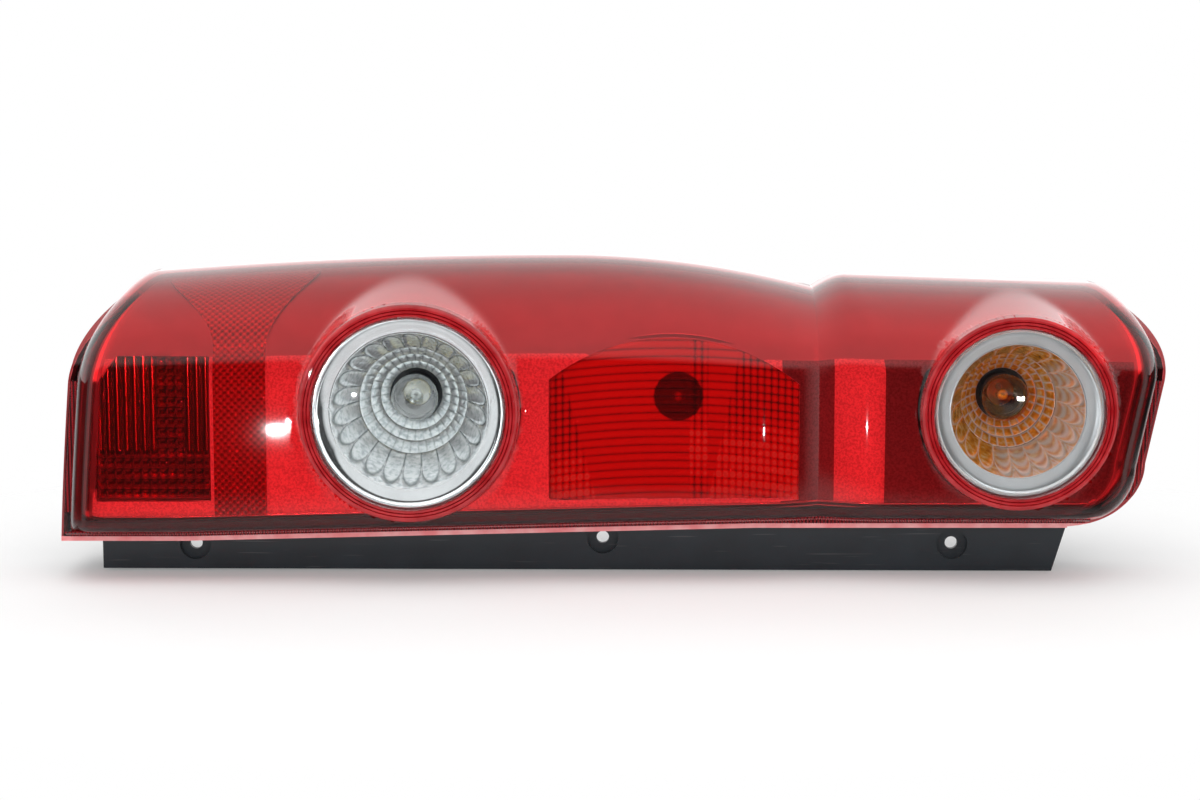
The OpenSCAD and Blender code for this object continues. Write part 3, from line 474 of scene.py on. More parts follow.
def onto(distance, x, z):
    """Points moved to where the signed distance is 0, down its slope."""
    for _ in range(6):
        d = distance(x, z)
        gx = (distance(x + 0.01, z) - distance(x - 0.01, z)) / 0.02
        gz = (distance(x, z + 0.01) - distance(x, z - 0.01)) / 0.02
        size = np.maximum(gx * gx + gz * gz, 1e-6)
        x, z = x - d * gx / size, z - d * gz / size
    return x, z


def pierced(outer, inner, openings, finish, allowed, **values):
    """A wall between two grids with openings cut through it.

    Cells whose middle lies in an opening go, the points on the cut move onto the outline, and
    each opening's own profile of steps out from the outline and depths closes the cut.
    """
    m, n = outer.shape[:2]
    quads = cells(m, n)
    middle = outer[..., (0, 2)].reshape(-1, 2)[quads].mean(1)
    outer, inner = outer.copy(), inner.copy()
    walls = []
    open_cells = np.zeros((m - 1, n - 1), bool)
    ok = np.broadcast_to(allowed[None, :-1], (m - 1, n - 1))
    for distance, profile, wall_finish, depth in openings:
        gone = (distance(middle[:, 0], middle[:, 1]) < 0).reshape(m - 1, n - 1) & ok
        open_cells |= gone
        i, j = np.nonzero(gone[1:, :] != gone[:-1, :])
        edges = [np.stack([(i + 1) * n + j, (i + 1) * n + j + 1], -1)]
        i, j = np.nonzero(gone[:, 1:] != gone[:, :-1])
        edges.append(np.stack([i * n + j + 1, (i + 1) * n + j + 1], -1))
        edges = np.concatenate(edges)
        ring, where = np.unique(edges, return_inverse=True)
        where = where.reshape(-1, 2)
        ro, ri = outer.reshape(-1, 3), inner.reshape(-1, 3)
        x, z = onto(distance, ro[ring, 0], ro[ring, 2])
        gx = distance(x + 0.01, z) - distance(x - 0.01, z)
        gz = distance(x, z + 0.01) - distance(x, z - 0.01)
        size = np.maximum(np.hypot(gx, gz), 1e-9)
        nx, nz = gx / size, gz / size
        y = ro[ring, 1] if depth is None else depth(z, ro[ring, 1])
        ro[ring] = np.stack([x, y, z], -1)
        ri[ring, 0], ri[ring, 2] = x, z
        chain = [ro[ring]]
        for step, level, fixed in profile:
            chain.append(np.stack([x + nx * step, (0 * y if fixed else y) + level, z + nz * step], -1))
        chain.append(ri[ring])
        chain = np.stack(chain, 1)
        k = chain.shape[1]
        a, b = where[:, 0][:, None] * k, where[:, 1][:, None] * k
        s = np.arange(k - 1)[None, :]
        faces = np.stack([a + s, b + s, b + s + 1, a + s + 1], -1)
        tags = np.broadcast_to(np.asarray(wall_finish), (len(where), k - 1)).ravel()
        walls.append((chain.reshape(-1, 3), faces.reshape(-1, 4), tags.astype(int), {}))
    kept = ~open_cells.ravel()
    finish = np.broadcast_to(finish, (m - 1, n - 1)).ravel()
    flat = {k: np.broadcast_to(v, (m, n)).ravel() for k, v in values.items()}
    front = (outer.reshape(-1, 3), quads[kept], finish[kept].astype(int), flat)
    back = (inner.reshape(-1, 3), quads[kept], np.zeros(kept.sum(), int), flat)
    return join(front, back, *rims(outer, inner), *walls)


# Material helpers


def linear(value):
    """An sRGB hex value as a linear colour with alpha."""
    parts = [int(value[i : i + 2], 16) / 255 for i in (1, 3, 5)]
    return tuple(c / 12.92 if c <= 0.04045 else ((c + 0.055) / 1.055) ** 2.4 for c in parts) + (1.0,)


def grey(level):
    """A linear grey."""
    return (level, level, level, 1.0)


def scaled(colour, *factors):
    """A linear colour times one factor, or times one for each channel."""
    return tuple(np.multiply(colour[:3], factors).tolist()) + (1.0,)


def add(tree, kind, settings=None, **inputs):
    """Adds a node with its settings, a ramp's stops among them, and its inputs, as values or sockets."""
    made = tree.nodes.new(kind)
    for key, value in (settings or {}).items():
        if key != "stops":
            setattr(made, key, value)
            continue
        elements = made.color_ramp.elements
        while len(elements) < len(value):
            elements.new(0.5)
        for element, (position, colour) in zip(elements, value):
            element.position, element.color = position, colour
    for key, value in inputs.items():
        socket = made.inputs[int(key[1:])] if key[1:].isdigit() else made.inputs[key.replace("_", " ")]
        if isinstance(value, bpy.types.NodeSocket):
            tree.links.new(value, socket)
        else:
            socket.default_value = value
    return made


def blank(name):
    """An empty material and its node tree."""
    made = bpy.data.materials.new(name)
    made.use_nodes = True
    made.node_tree.nodes.clear()
    return made, made.node_tree


def shade(tree, source, stops, scale=1.0, detail=2.0):
    """A colour between stops, hex or linear, that varies over the piece.

    It follows a Noise or Wave with that scale to the metre, or the attribute that source names.
    """
    if source in ("Noise", "Wave"):
        where = add(tree, "ShaderNodeTexCoord").outputs["Object"]
        value = add(tree, "ShaderNodeTex" + source, Vector=where, Scale=scale, Detail=detail)
    else:
        value = add(tree, "ShaderNodeAttribute", {"attribute_name": source})
    stops = [(at, linear(colour) if isinstance(colour, str) else colour) for at, colour in stops]
    return add(tree, "ShaderNodeValToRGB", {"stops": stops}, _0=value.outputs["Fac"]).outputs["Color"]


def see_through(name, tint, roughness, ior, pattern=None, normal=None, body=None):
    """Clear or tinted plastic: a tinted pass-through shader, with gloss by Fresnel's law on top.

    A body covers part of what lies behind. It holds its share, its roughness or None where it is
    matte, and what shade takes.
    """
    made, tree = blank(name)
    colour = linear(tint)
    if pattern is not None:
        colour = pattern(tree, colour)
    through = add(tree, "ShaderNodeBsdfTransparent", Color=colour).outputs[0]
    bump = {"Normal": normal(tree)} if normal is not None else {}
    if body is not None:
        share, polish, *look = body
        kind, extra = ("Diffuse", {}) if polish is None else ("Glossy", {"Roughness": polish})
        cover = add(tree, "ShaderNodeBsdf" + kind, Color=shade(tree, *look), **extra).outputs[0]
        through = add(tree, "ShaderNodeMixShader", _0=share, _1=through, _2=cover).outputs[0]
    gloss = add(tree, "ShaderNodeBsdfGlossy", Color=grey(1.0), Roughness=roughness, **bump).outputs[0]
    fresnel = add(tree, "ShaderNodeFresnel", IOR=ior, **bump).outputs[0]
    behind = add(tree, "ShaderNodeNewGeometry").outputs["Backfacing"]
    ahead = add(tree, "ShaderNodeMath", {"operation": "SUBTRACT"}, _0=1.0, _1=behind).outputs[0]
    share = add(tree, "ShaderNodeMath", {"operation": "MULTIPLY"}, _0=fresnel, _1=ahead).outputs[0]
    mixed = add(tree, "ShaderNodeMixShader", _0=share, _1=through, _2=gloss).outputs[0]
    add(tree, "ShaderNodeOutputMaterial", Surface=mixed)
    return made


def metal(name, colour, roughness, grain, grain_size, spread, pattern=None, metallic=1.0):
    """Plated or plain metal.

    Its roughness varies by spread, and grains grain_size wide stand grain high, both in metres.
    """
    made, tree = blank(name)
    where = add(tree, "ShaderNodeTexCoord").outputs["Object"]
    broad = add(tree, "ShaderNodeTexNoise", Vector=where, Scale=60.0, Detail=3.0).outputs["Fac"]
    rough = add(
        tree, "ShaderNodeMapRange", Value=broad, To_Min=max(0.02, roughness - spread / 2),
        To_Max=roughness + spread / 2,
    ).outputs[0]
    base = linear(colour)
    inputs = {"Metallic": metallic, "Roughness": rough}
    if pattern is None:
        inputs["Base_Color"] = shade(tree, "Noise", [(0.3, base), (0.7, scaled(base, 0.9))], 60.0, 3.0)
    else:
        inputs["Base_Color"] = pattern(tree, base)
    if grain:
        noise = add(tree, "ShaderNodeTexNoise", Vector=where, Scale=1 / grain_size, Detail=2.0)
        bump = add(tree, "ShaderNodeBump", Height=noise.outputs["Fac"], Distance=grain)
        inputs["Normal"] = bump.outputs["Normal"]
    surface = add(tree, "ShaderNodeBsdfPrincipled", **inputs).outputs[0]
    add(tree, "ShaderNodeOutputMaterial", Surface=surface)
    return made


def plastic(name, colour, roughness, grain, grain_size, lift, ior, scratches=0.0):
    """Opaque moulded plastic or rubber with its moulded grain."""
    made, tree = blank(name)
    where = add(tree, "ShaderNodeTexCoord").outputs["Object"]
    noise = add(
        tree, "ShaderNodeTexNoise", Vector=where, Scale=1 / grain_size, Detail=3.0, Roughness=0.6
    ).outputs["Fac"]
    broad = add(tree, "ShaderNodeTexNoise", Vector=where, Scale=35.0, Detail=4.0).outputs["Fac"]
    base = linear(colour)
    tone = shade(tree, "Noise", [(0.35, base), (0.75, scaled(base, lift))], 35.0, 4.0)
    rough = add(
        tree, "ShaderNodeMapRange", Value=broad, To_Min=roughness - 0.06, To_Max=roughness + 0.08
    ).outputs[0]
    if scratches:
        long_way = add(
            tree, "ShaderNodeMapping", Vector=where, Rotation=(0.0, 0.5, 0.0), Scale=(30.0, 30.0, 900.0)
        ).outputs[0]
        lines = add(tree, "ShaderNodeTexNoise", Vector=long_way, Scale=1.0, Detail=1.0).outputs["Fac"]
        stops = [(0.68, grey(0.0)), (0.74, grey(scratches))]
        marks = add(tree, "ShaderNodeValToRGB", {"stops": stops}, _0=lines).outputs["Color"]
        tone = add(
            tree, "ShaderNodeMix", {"data_type": "RGBA"}, _0=marks, _6=tone, _7=grey(0.10)
        ).outputs[2]
    normal = add(tree, "ShaderNodeBump", Height=noise, Distance=grain).outputs["Normal"]
    surface = add(
        tree, "ShaderNodeBsdfPrincipled", Base_Color=tone, Roughness=rough, IOR=ior, Normal=normal
    ).outputs[0]
    add(tree, "ShaderNodeOutputMaterial", Surface=surface)
    return made


def ripple(tree):
    """A faint flow ripple of some 20 mm that bends the lens's reflections a little."""
    where = add(tree, "ShaderNodeTexCoord").outputs["Object"]
    noise = add(tree, "ShaderNodeTexNoise", Vector=where, Scale=40.0, Detail=1.0).outputs["Fac"]
    return add(tree, "ShaderNodeBump", Height=noise, Distance=0.00008, Strength=0.4).outputs["Normal"]


def lens_tint(tree, colour):
    """The lens's tint with its flow, deeper over the shoulder, where more acrylic lies in the way."""
    flow = shade(tree, "Noise", [(0.3, colour), (0.7, scaled(colour, 0.985, 0.94, 0.94))], 12.0, 1.0)
    along = add(tree, "ShaderNodeAttribute", {"attribute_name": "along"}).outputs["Fac"]
    return add(
        tree, "ShaderNodeMix", {"data_type": "RGBA"}, _0=along, _6=flow, _7=linear("#CA545A")
    ).outputs[2]


def clear_tint(tree, colour):
    """A clear tint that varies by a hundredth."""
    return shade(tree, "Noise", [(0.3, colour), (0.7, scaled(colour, 0.99))], 30.0)


def sparkle(tree, base):
    """Grains of about 0.8 mm, each bright or dull."""
    return shade(tree, "Noise", [(0.36, scaled(base, 0.7)), (0.6, base)], 900.0)


def facets(border, scale, stops):
    """What facets mirror, painted: a broken colour in the middle of each and one colour along its border,
    a painted reflection or painted crease shade.
    """
    def colour(tree, _):
        inside = add(tree, "ShaderNodeAttribute", {"attribute_name": "cell"}).outputs["Fac"]
        tone = shade(tree, "Noise", stops, scale)
        return add(
            tree, "ShaderNodeMix", {"data_type": "RGBA"}, _0=inside, _6=linear(border), _7=tone
        ).outputs[2]
    return colour


def finishes():
    """Every finish of the lamp, by name."""
    c = bpy.context.scene.lamp_colours
    amber_reflection = facets("#EEEEEC", 260.0, [(0.3, "#C87C20"), (0.5, c.amber), (0.7, "#FFE0A0")])
    clear_facet_shade = facets("#7E8686", 420.0, [(0.32, "#D0D4D8"), (0.56, "#FFFFFF")])
    # The stops of the stop and fog optics run from painted shade in the grooves to painted light on the
    # crests
    optic = [(0.04, "#2A0508"), (0.2, "#8E1018"), (0.42, "#E8302A"), (0.66, "#FF6A50"), (0.9, "#FFF4C0")]
    fog = [(0.1, "#6E1018"), (0.6, "#9C1C24"), (0.95, "#FF5048")]
    rows_by_maker = (
        (see_through, (
            # Red cast acrylic from a polished mould: clear depth under a hard, thin reflection
            ("lens", "acrylic_red", c.lens, 0.02, 1.49, lens_tint, ripple),
            # The same acrylic seen along its thickness, where much more of it lies in the way
            ("lens_edge", "acrylic_red_edge", "#D02028", 0.05, 1.49, None, None,
             (0.55, None, "Noise", [(0.3, c.lens_edge), (0.7, "#C01420")], 300.0)),
            # Moulded flutes, with painted light and shade: fine upright lines, painted shade between the
            # crests and lighter red on them, that break up the gloss. The lines are about 2 mm apart,
            # coarser than the flutes, so that they show
            ("lens_flutes", "acrylic_red_fluted", "#D02028", 0.05, 1.25, None, None,
             (0.62, None, "Wave", [(0.2, "#3C060C"), (0.8, "#A81E28")], 165.0)),
            # Where the acrylic is a solid block it glows red from within under its gloss
            ("lens_collar", "acrylic_red_block", "#F07078", 0.03, 1.49, None, None,
             (0.6, None, "Noise", [(0.3, "#B4141C"), (0.7, "#E03A40")], 90.0)),
            # The moulding's lip, cut square, with a frosted edge: painted light, a pale pink that stands
            # for the white of the table the edge gathers
            ("lens_lip", "acrylic_frosted_lip", "#FFC8C8", 0.2, 1.49, None, None,
             (0.85, None, "Noise", [(0.3, "#F48488"), (0.7, "#FCB0B0")], 120.0)),
            # Red acrylic with ribs that throw the reflector's light about: part of what it shows is a
            # painted reflection, bright and broken in its own colour, with painted shade in the grooves,
            # and the rest is seen through it
            ("optic", "acrylic_red_prismatic", c.optic, 0.06, 1.49, None, None,
             (0.6, None, "cell", optic)),
            # A deeper red acrylic, whose prisms show a few painted glints, with painted shade in their
            # grooves
            ("fog_optic", "acrylic_deep_red", "#B0141C", 0.06, 1.49, None, None, (0.5, 0.2, "cell", fog)),
            # Retroreflecting acrylic: corner prisms painted with small red glints on their points and
            # painted shade between them
            ("reflex", "acrylic_reflex", "#C82028", 0.05, 1.49, None, None,
             (0.7, 0.28, "cell", [(0.2, "#A82029"), (0.8, "#FF646C")])),
            # Clear polycarbonate with a hard coat: nearly invisible face-on, bright at its rim
            ("clear", "polycarbonate_clear", c.clear, 0.01, 1.58, clear_tint),
            # Glass blown thin, over the bright support wires and the silvered seat of the bulb
            ("glass", "soda_glass", "#F4F8F8", 0.01, 1.5, clear_tint, None,
             (0.22, 0.2, "Noise", [(0.3, "#C8CCCC"), (0.7, "#F0F4F4")], 200.0)),
            # The same glass with an amber coat: an even glow over the bowl behind it
            ("amber_glass", "soda_glass_amber", "#F0B050", 0.02, 1.5, clear_tint),
            # Clear glass behind a red lens, given a pink tint: painted red light, for the light that
            # reaches it through the lens
            ("red_glass", "soda_glass_in_red", "#E8B0A8", 0.02, 1.5, clear_tint),
        )),
        (metal, (
            # Vacuum-plated aluminium under lacquer: a mirror with an orange peel of about 3 mm
            ("plating", "plating_bright", c.plating, 0.06, 0.000012, 0.003, 0.04),
            # The same over a matt mould face: soft grey reflections
            ("satin", "plating_satin", c.satin, 0.34, 0.00001, 0.0012, 0.1),
            # Plating over a spark-eroded mould face: grains that glitter one by one
            ("bezel", "plating_spark_eroded", "#FAFBFC", 0.4, 0.00011, 0.0009, 0.1, sparkle, 0.4),
            # The same plating painted darker right of the ridge and on the valley's floor: painted shade
            ("bezel_deep", "plating_spark_eroded_dark", "#9C9EA0", 0.4, 0.00014, 0.0009, 0.1,
             sparkle, 0.9),
            # The bezel's smooth steps and beads, each painted with the tone its slope mirrors: painted
            # reflection, with painted shade on the shaded wall and painted highlights on the beads
            ("bezel_smooth", "plating_smooth", "#C8CACC", 0.3, 0.00002, 0.002, 0.1),
            ("bezel_dark", "plating_in_shade", "#626466", 0.4, 0.00002, 0.002, 0.1),
            ("bezel_line", "plating_bead", "#F2F2F2", 0.18, 0.00001, 0.002, 0.05),
            # Painted reflection: the indicator's bowl is painted with its amber bulb's reflection in the
            # middle of each facet, and with the clear window's white along the facets' borders
            ("amber_cells", "plating_over_amber", "#E0E0E0", 0.12, 0.0, 0.003, 0.04, amber_reflection, 0.45),
            # The reversing lamp's facets: bright, with a thin line of painted shade round each, in the
            # creases
            ("clear_cells", "plating_facets", "#E8EAEA", 0.1, 0.0, 0.003, 0.04, clear_facet_shade, 0.62),
            # The deep reflectors: plating whose lacquer scatters part of the light
            ("reflector", "plating_lacquered", "#ECEEEE", 0.3, 0.0, 0.003, 0.06, None, 0.5),
            # The risers between rings of facets: painted shade, dark because they face away from the
            # light
            ("step_line", "plating_riser", "#3A3E40", 0.3, 0.0, 0.003, 0.1),
            # Drawn brass, zinc-plated steel and nickel wire: soft reflections in the metal's colour
            ("brass", "brass_drawn", c.brass, 0.28, 0.00001, 0.0008, 0.12),
            ("zinc", "steel_zinc_plated", c.zinc, 0.32, 0.00001, 0.0008, 0.14),
            ("wire", "nickel_wire", "#C8C8C4", 0.25, 0.0, 0.001, 0.05),
        )),
        (plastic, (
            # Glass-filled polypropylene with a fine moulded grain and a few handling scratches
            ("housing", "polypropylene_black", c.housing, 0.42, 0.00006, 0.0009, 1.5, 1.49, 0.35),
            # Polyamide, which stands the bulbs' heat: a like grain, a little duller
            ("carrier", "polyamide_black", "#2A2B2E", 0.5, 0.00005, 0.0012, 1.4, 1.53),
            # Cellular rubber: pores of about half a millimetre and no gloss
            ("foam", "cellular_rubber", c.foam, 0.9, 0.0004, 0.0007, 1.7, 1.45),
            # Soft black elastomer of the vent caps
            ("vent", "elastomer_black", "#1C1C1E", 0.62, 0.00003, 0.0008, 1.4, 1.5),
        )),
    )
    return {key: maker(*look) for maker, table in rows_by_maker for key, *look in table}


FINISHES = {}


# The pieces


class LAMP_OT_outer_lens(bpy.types.Operator):
    """Build the red outer lens with its hoods, collars and ribbed land."""

    bl_idname = "lamp.outer_lens"
    bl_label = "Outer lens"

    def execute(self, context):
        sizes = context.scene.lamp_sizes
        along, across = stations(sizes.grid), rows(sizes.grid)
        outer = hooded(skin(along, across), across)
        inner = hooded(skin(along, across, LENS_WALL), across, LENS_WALL)
        ridge = (along[0] == TO_RIDGE) & (along[1] == 1)
        crease = np.broadcast_to(ridge[:, None], outer.shape[:2]).astype(float)
        openings = []
        for x, r, angle in LAMPS:
            tan = math.tan(math.radians(angle))
            cut = r + COLLAR_WIDTH + (FRONT_Y - COLLAR_Y) * tan
            profile = [(-3.4 * tan, COLLAR_Y + 2.6, True), (-5.2 * tan, COLLAR_Y + 0.9, True)]
            # From the collar's outer corner over its face, with two grooves, and down the bore
            profile += [(r + out - cut, COLLAR_Y + behind, True) for out, behind in (
                (5.2, 0.15), (4.6, 0), (3.9, 0), (3.6, 0.5), (3.3, 0), (2.2, 0), (1.9, 0.5), (1.6, 0),
                (0.6, 0), (0, 0.6), (0, COLLAR_LENGTH),
            )]
            tags = [1, 1, 2, 2, 2, 1, 1, 2, 1, 1, 2, 1, 1, 0]
            openings.append((circle_outline(x, cut), profile, tags, lambda z, y: 0 * y + FRONT_Y))
        allowed = (across[0] >= WALL_ROW) & (across[0] <= SHOULDER_ROW)
        lip = (across[0] == SKIRT) | ((across[0] == LAND_ROW) & (across[1] <= 0.5))
        end = ((along[0] == LEFT_END) | (along[0] == RIGHT_END)) & (along[1] <= 0)
        lip = (lip[:-1] & lip[1:])[None, :] | (end[:-1] & end[1:])[:, None]
        over = np.select(
            [across[0] < SHOULDER_ROW, across[0] == SHOULDER_ROW],
            [0.0, 0.45 * ease((across[1] - 30) / 40) + 0.55 * ease((across[1] - 72) / 16)], 1.0,
        )
        body = pierced(
            outer, inner, openings, np.where(lip, 3, 0), allowed, ridge=crease, along=over[None, :]
        )
        names = ("lens", "lens_edge", "lens_collar", "lens_lip")
        make(
            "outer_lens_visual", body, [FINISHES[n] for n in names],
            ("outer_lens",), 40, "ridge",
        )
        self.ribs(sizes.rim_pitch)
        return {"FINISHED"}

    @staticmethod
    def ribs(pitch):
        """Flutes across the land: the height alternates every half pitch along the rim."""
        parts = []
        half = pitch / 2
        count = int((RIGHT_X - LEFT_X - 46) / half)
        x = LEFT_X + 5 + half * np.arange(count)
        flat = (np.full(count, AT_X), x)
        low = (
            np.array([LAND_ROW] * 4 + [WALL_ROW] * 7),
            np.array([0.52, 0.56, 0.75, 1.0, 8, 16, 24, 32, 40, 46, 48.0]),
        )
        side = (np.full(110, FACE_ROW), np.linspace(0.02, 1, 110))
        across_end = np.array([1.6, 1.9, 3.1, 4.4, 4.7])
        for along, across, axis in (
            (flat, low, 0), ((np.full(5, LEFT_END), across_end), side, 1),
            ((np.full(5, RIGHT_END), across_end), side, 1),
        ):
            high, plain = skin(along, across, -0.42), skin(along, across, -0.02)
            m, n = plain.shape[:2]
            wave = (np.arange(plain.shape[axis]) % 2).astype(float)
            body = np.ones(n if axis == 0 else m)
            body[[0, -1]] = 0
            lift = wave[:, None] * body[None, :] if axis == 0 else body[:, None] * wave[None, :]
            top = mix(plain, high, lift[..., None])
            parts.append(shell(top, skin(along, across, 0.3)))
        make("lens_rim_flutes", join(*parts), [FINISHES["lens_flutes"]], (), 12)


class LAMP_OT_windows(bpy.types.Operator):
    """Build the two clear windows and the rings under them."""

    bl_idname = "lamp.windows"
    bl_label = "Windows and rings"

    def execute(self, context):
        for name, x, r, finish, slot in (
            ("reverse", REVERSE_X, REVERSE_R, "plating", "bright_plating"),
            ("indicator", INDICATOR_X, INDICATOR_R, "satin", "satin_plating"),
        ):
            o = r - FIT
            i = o - WINDOW_WALL
            face = WINDOW_Y
            turn = np.radians(np.linspace(0, 90, 9))
            outer = [(0.0, face - 1.2)] + [
                (s, face - 1.2 + 1.2 * (s / (o - 3.2)) ** 2) for s in np.linspace(5, o - 3.2, 12)
            ]
            outer += list(zip(o - 3.2 + 3.2 * np.sin(turn), face + 3.2 * (1 - np.cos(turn))))[1:]
            outer += [(o, WINDOW_BACK), (i, WINDOW_BACK)]
            inner = list(zip(i - 1.6 + 1.6 * np.cos(turn), face + 3 + 1.6 * (1 - np.sin(turn))))
            inner += [(s, face + 1.8 + 1.2 * (s / o) ** 2) for s in np.linspace(i - 4, 5, 8)]
            inner += [(0.0, face + 1.8)]
            make(
                name + "_window_visual", lathe(outer + inner, x, 128), [FINISHES["clear"]],
                (name + "_window",), 30,
            )
            front = WINDOW_BACK + 0.3
            k = o - RING_WIDTH
            bend = np.linspace(0, 1, 8)
            profile = [(o, front + 0.4), (o - 0.4, front), (o - 1.2, front), (o - 1.6, front + 0.5)]
            profile += [(o - 1.8, front + 1.6), (o - 2.1, front + 2.1)]
            profile += list(zip(mix(o - 2.1, k + 0.7, bend), front + 2.1 + 3.0 * bend**1.5))
            profile += [(k + 0.3, BOWL_FRONT - 1.4), (k, BOWL_FRONT - 1.2), (k + 0.2, BOWL_FRONT - 0.6)]
            profile += [(o - 1.6, BOWL_FRONT - 0.05), (o, BOWL_FRONT - 0.05)]
            make(
                name + "_ring_visual", lathe(profile, x, 128), [FINISHES[finish]],
                (name + "_ring",), 26,
            )
        return {"FINISHED"}


def bowl_depth(r, r1):
    """Depth of a paraboloid from the bulb hole at the back to radius r1 at the front."""
    return BOWL_BACK - (BOWL_BACK - BOWL_FRONT) * (r * r - HOLE_R**2) / (r1 * r1 - HOLE_R**2)


class LAMP_OT_bowls(bpy.types.Operator):
    """Build the faceted bowls of the reversing lamp and the indicator."""

    bl_idname = "lamp.bowls"
    bl_label = "Bowls"

    def execute(self, context):
        petals = context.scene.lamp_sizes.petals
        for name, x, r, count, rings, finish in (
            ("reverse", REVERSE_X, REVERSE_R, petals,
             ((14, 18.6, 26), (18.6, 23.4, 32), (23.4, 28.4, 38)), "clear_cells"),
            ("indicator", INDICATOR_X, INDICATOR_R, petals - 2,
             ((14, 17.6, 24), (17.6, 21.2, 28), (21.2, 25, 32)), "amber_cells"),
        ):
            r1 = r - FIT - RING_WIDTH + 0.4
            turns = np.linspace(0, 2 * math.pi, 528, endpoint=False)
            parts = [self.ring(x, r1, turns, a, b, n, name == "indicator") for a, b, n in rings]
            parts.append(self.scallops(x, r1, turns, rings[-1][1], count, name == "indicator"))
            front = join(*[p[0] for p in parts])
            # The risers take finish 1, their painted shade
            risers = [
                sheet(np.stack([one[2], other[1]]), 1, False, True, cell=0.0)
                for one, other in zip(parts, parts[1:])
            ]
            hole, edge, rim_r = parts[0][1], parts[-1][2], r - FIT
            circle = lambda radius, y: np.stack([
                x + radius * np.cos(turns), np.full(len(turns), y), WINDOW_Z + radius * np.sin(turns)
            ], -1)
            back = sheet(np.stack([
                edge, circle(rim_r, BOWL_FRONT), circle(rim_r, BOWL_FRONT + 1.8),
                circle(r1 + 0.8, BOWL_FRONT + 1.8), circle(30.0, bowl_depth(30.0, r1) + 3.4),
                circle(HOLE_R + 1.8, BOWL_BACK + 1.6), circle(HOLE_R + 1.8, BOWL_BACK + 6.9),
                circle(HOLE_R, BOWL_BACK + 6.9), hole,
            ]), 2, False, True, cell=0.0)
            make(
                name + "_bowl_visual", join(front, *risers, back),
                [FINISHES[finish], FINISHES["step_line"], FINISHES["plating"]],
                (name + "_reflector",), 24,
            )
        return {"FINISHED"}

    @staticmethod
    def ring(x, r1, turns, a, b, count, border):
        """One ring of pillow facets: the bowl's own depth, a sawtooth riser and a bulge in each cell."""
        s = np.array([0, 0.03, 0.12, 0.3, 0.5, 0.7, 0.88, 0.97, 1.0])[:, None]
        t = turns[None, :]
        phase = (t * count / (2 * math.pi)) % 1.0
        bulge = np.sqrt(np.clip(np.sin(math.pi * phase), 0, 1))
        bulge = bulge * np.sqrt(np.clip(np.sin(math.pi * s), 0, 1))
        radius = mix(a, b, s) + 0 * t
        depth = bowl_depth(radius, r1) + 1.3 * s - 0.9 * bulge
        grid = np.stack([x + radius * np.cos(t), depth, WINDOW_Z + radius * np.sin(t)], -1)
        # The cell value places painted light: the bulb's painted reflection in each facet's middle, and
        # along its borders the window's painted reflection on the indicator and painted crease shade on
        # the reversing lamp
        edge = np.minimum(phase, 1 - phase)
        inside = 1 - np.exp(-((edge / 0.1) ** 2)) * (1 if border else 0.35)
        inside = np.where(border, inside * ease(np.minimum(s, 1 - s) / 0.14), inside)
        return sheet(grid, 0, False, True, cell=inside), grid[0], grid[-1]

    @staticmethod
    def scallops(x, r1, turns, a, count, clear_side):
        """The outer band: tongues with round outer ends, and small lobes between their ends.

        A tongue ends where s = 0.36 + 0.5 arch, with arch the half circle over its width.
        On the clear side, within 80 degrees of 30 degrees below +X, the painted reflection shows less of
        the bulb, and three painted bright arcs lie in each tongue, side by side with its end. Along the
        tongues' borders and ends lies the facets' border colour: painted reflection of the window on the
        indicator, painted crease shade on the reversing lamp.
        """
        s = np.linspace(0, 1, 34)[:, None]
        t = turns[None, :]
        phase = (t * count / (2 * math.pi)) % 1.0
        arch = np.sqrt(np.clip(1 - (2 * phase - 1) ** 2, 0, 1))
        between = np.sqrt(np.clip(1 - (2 * ((phase + 0.5) % 1.0) - 1) ** 2, 0, 1))
        end = 0.36 + 0.5 * arch
        radius = mix(a, r1 + 0.2, s) + 0 * t
        along = np.clip(s / end, 0, 1)
        tongue = 2.4 * arch * np.sqrt(np.sin(math.pi * along))
        lobe = 1.4 * between * np.sin(math.pi * np.clip((s - end) / (1.02 - end), 0, 1))
        depth = bowl_depth(radius, r1) + 1.2 * (1 - s) * s * 2 - (tongue + lobe) * ease((1 - s) / 0.06)
        grid = np.stack([x + radius * np.cos(t), depth, WINDOW_Z + radius * np.sin(t)], -1)
        border = np.exp(-((np.minimum(phase, 1 - phase) / 0.05) ** 2)) * (s < end)
        line = np.exp(-(((s - end) / 0.05) ** 2)) + border
        inside = 1 - np.clip(line, 0, 1) * 0.9
        if clear_side:
            arcs = 0.5 + 0.5 * np.cos(6 * math.pi * s / end)
            inside = inside * (1 - (0.3 + 0.65 * arcs) * ease((np.cos(t + math.radians(30)) - 0.1) / 0.3))
        return sheet(grid, 0, False, True, cell=inside), grid[0], grid[-1]


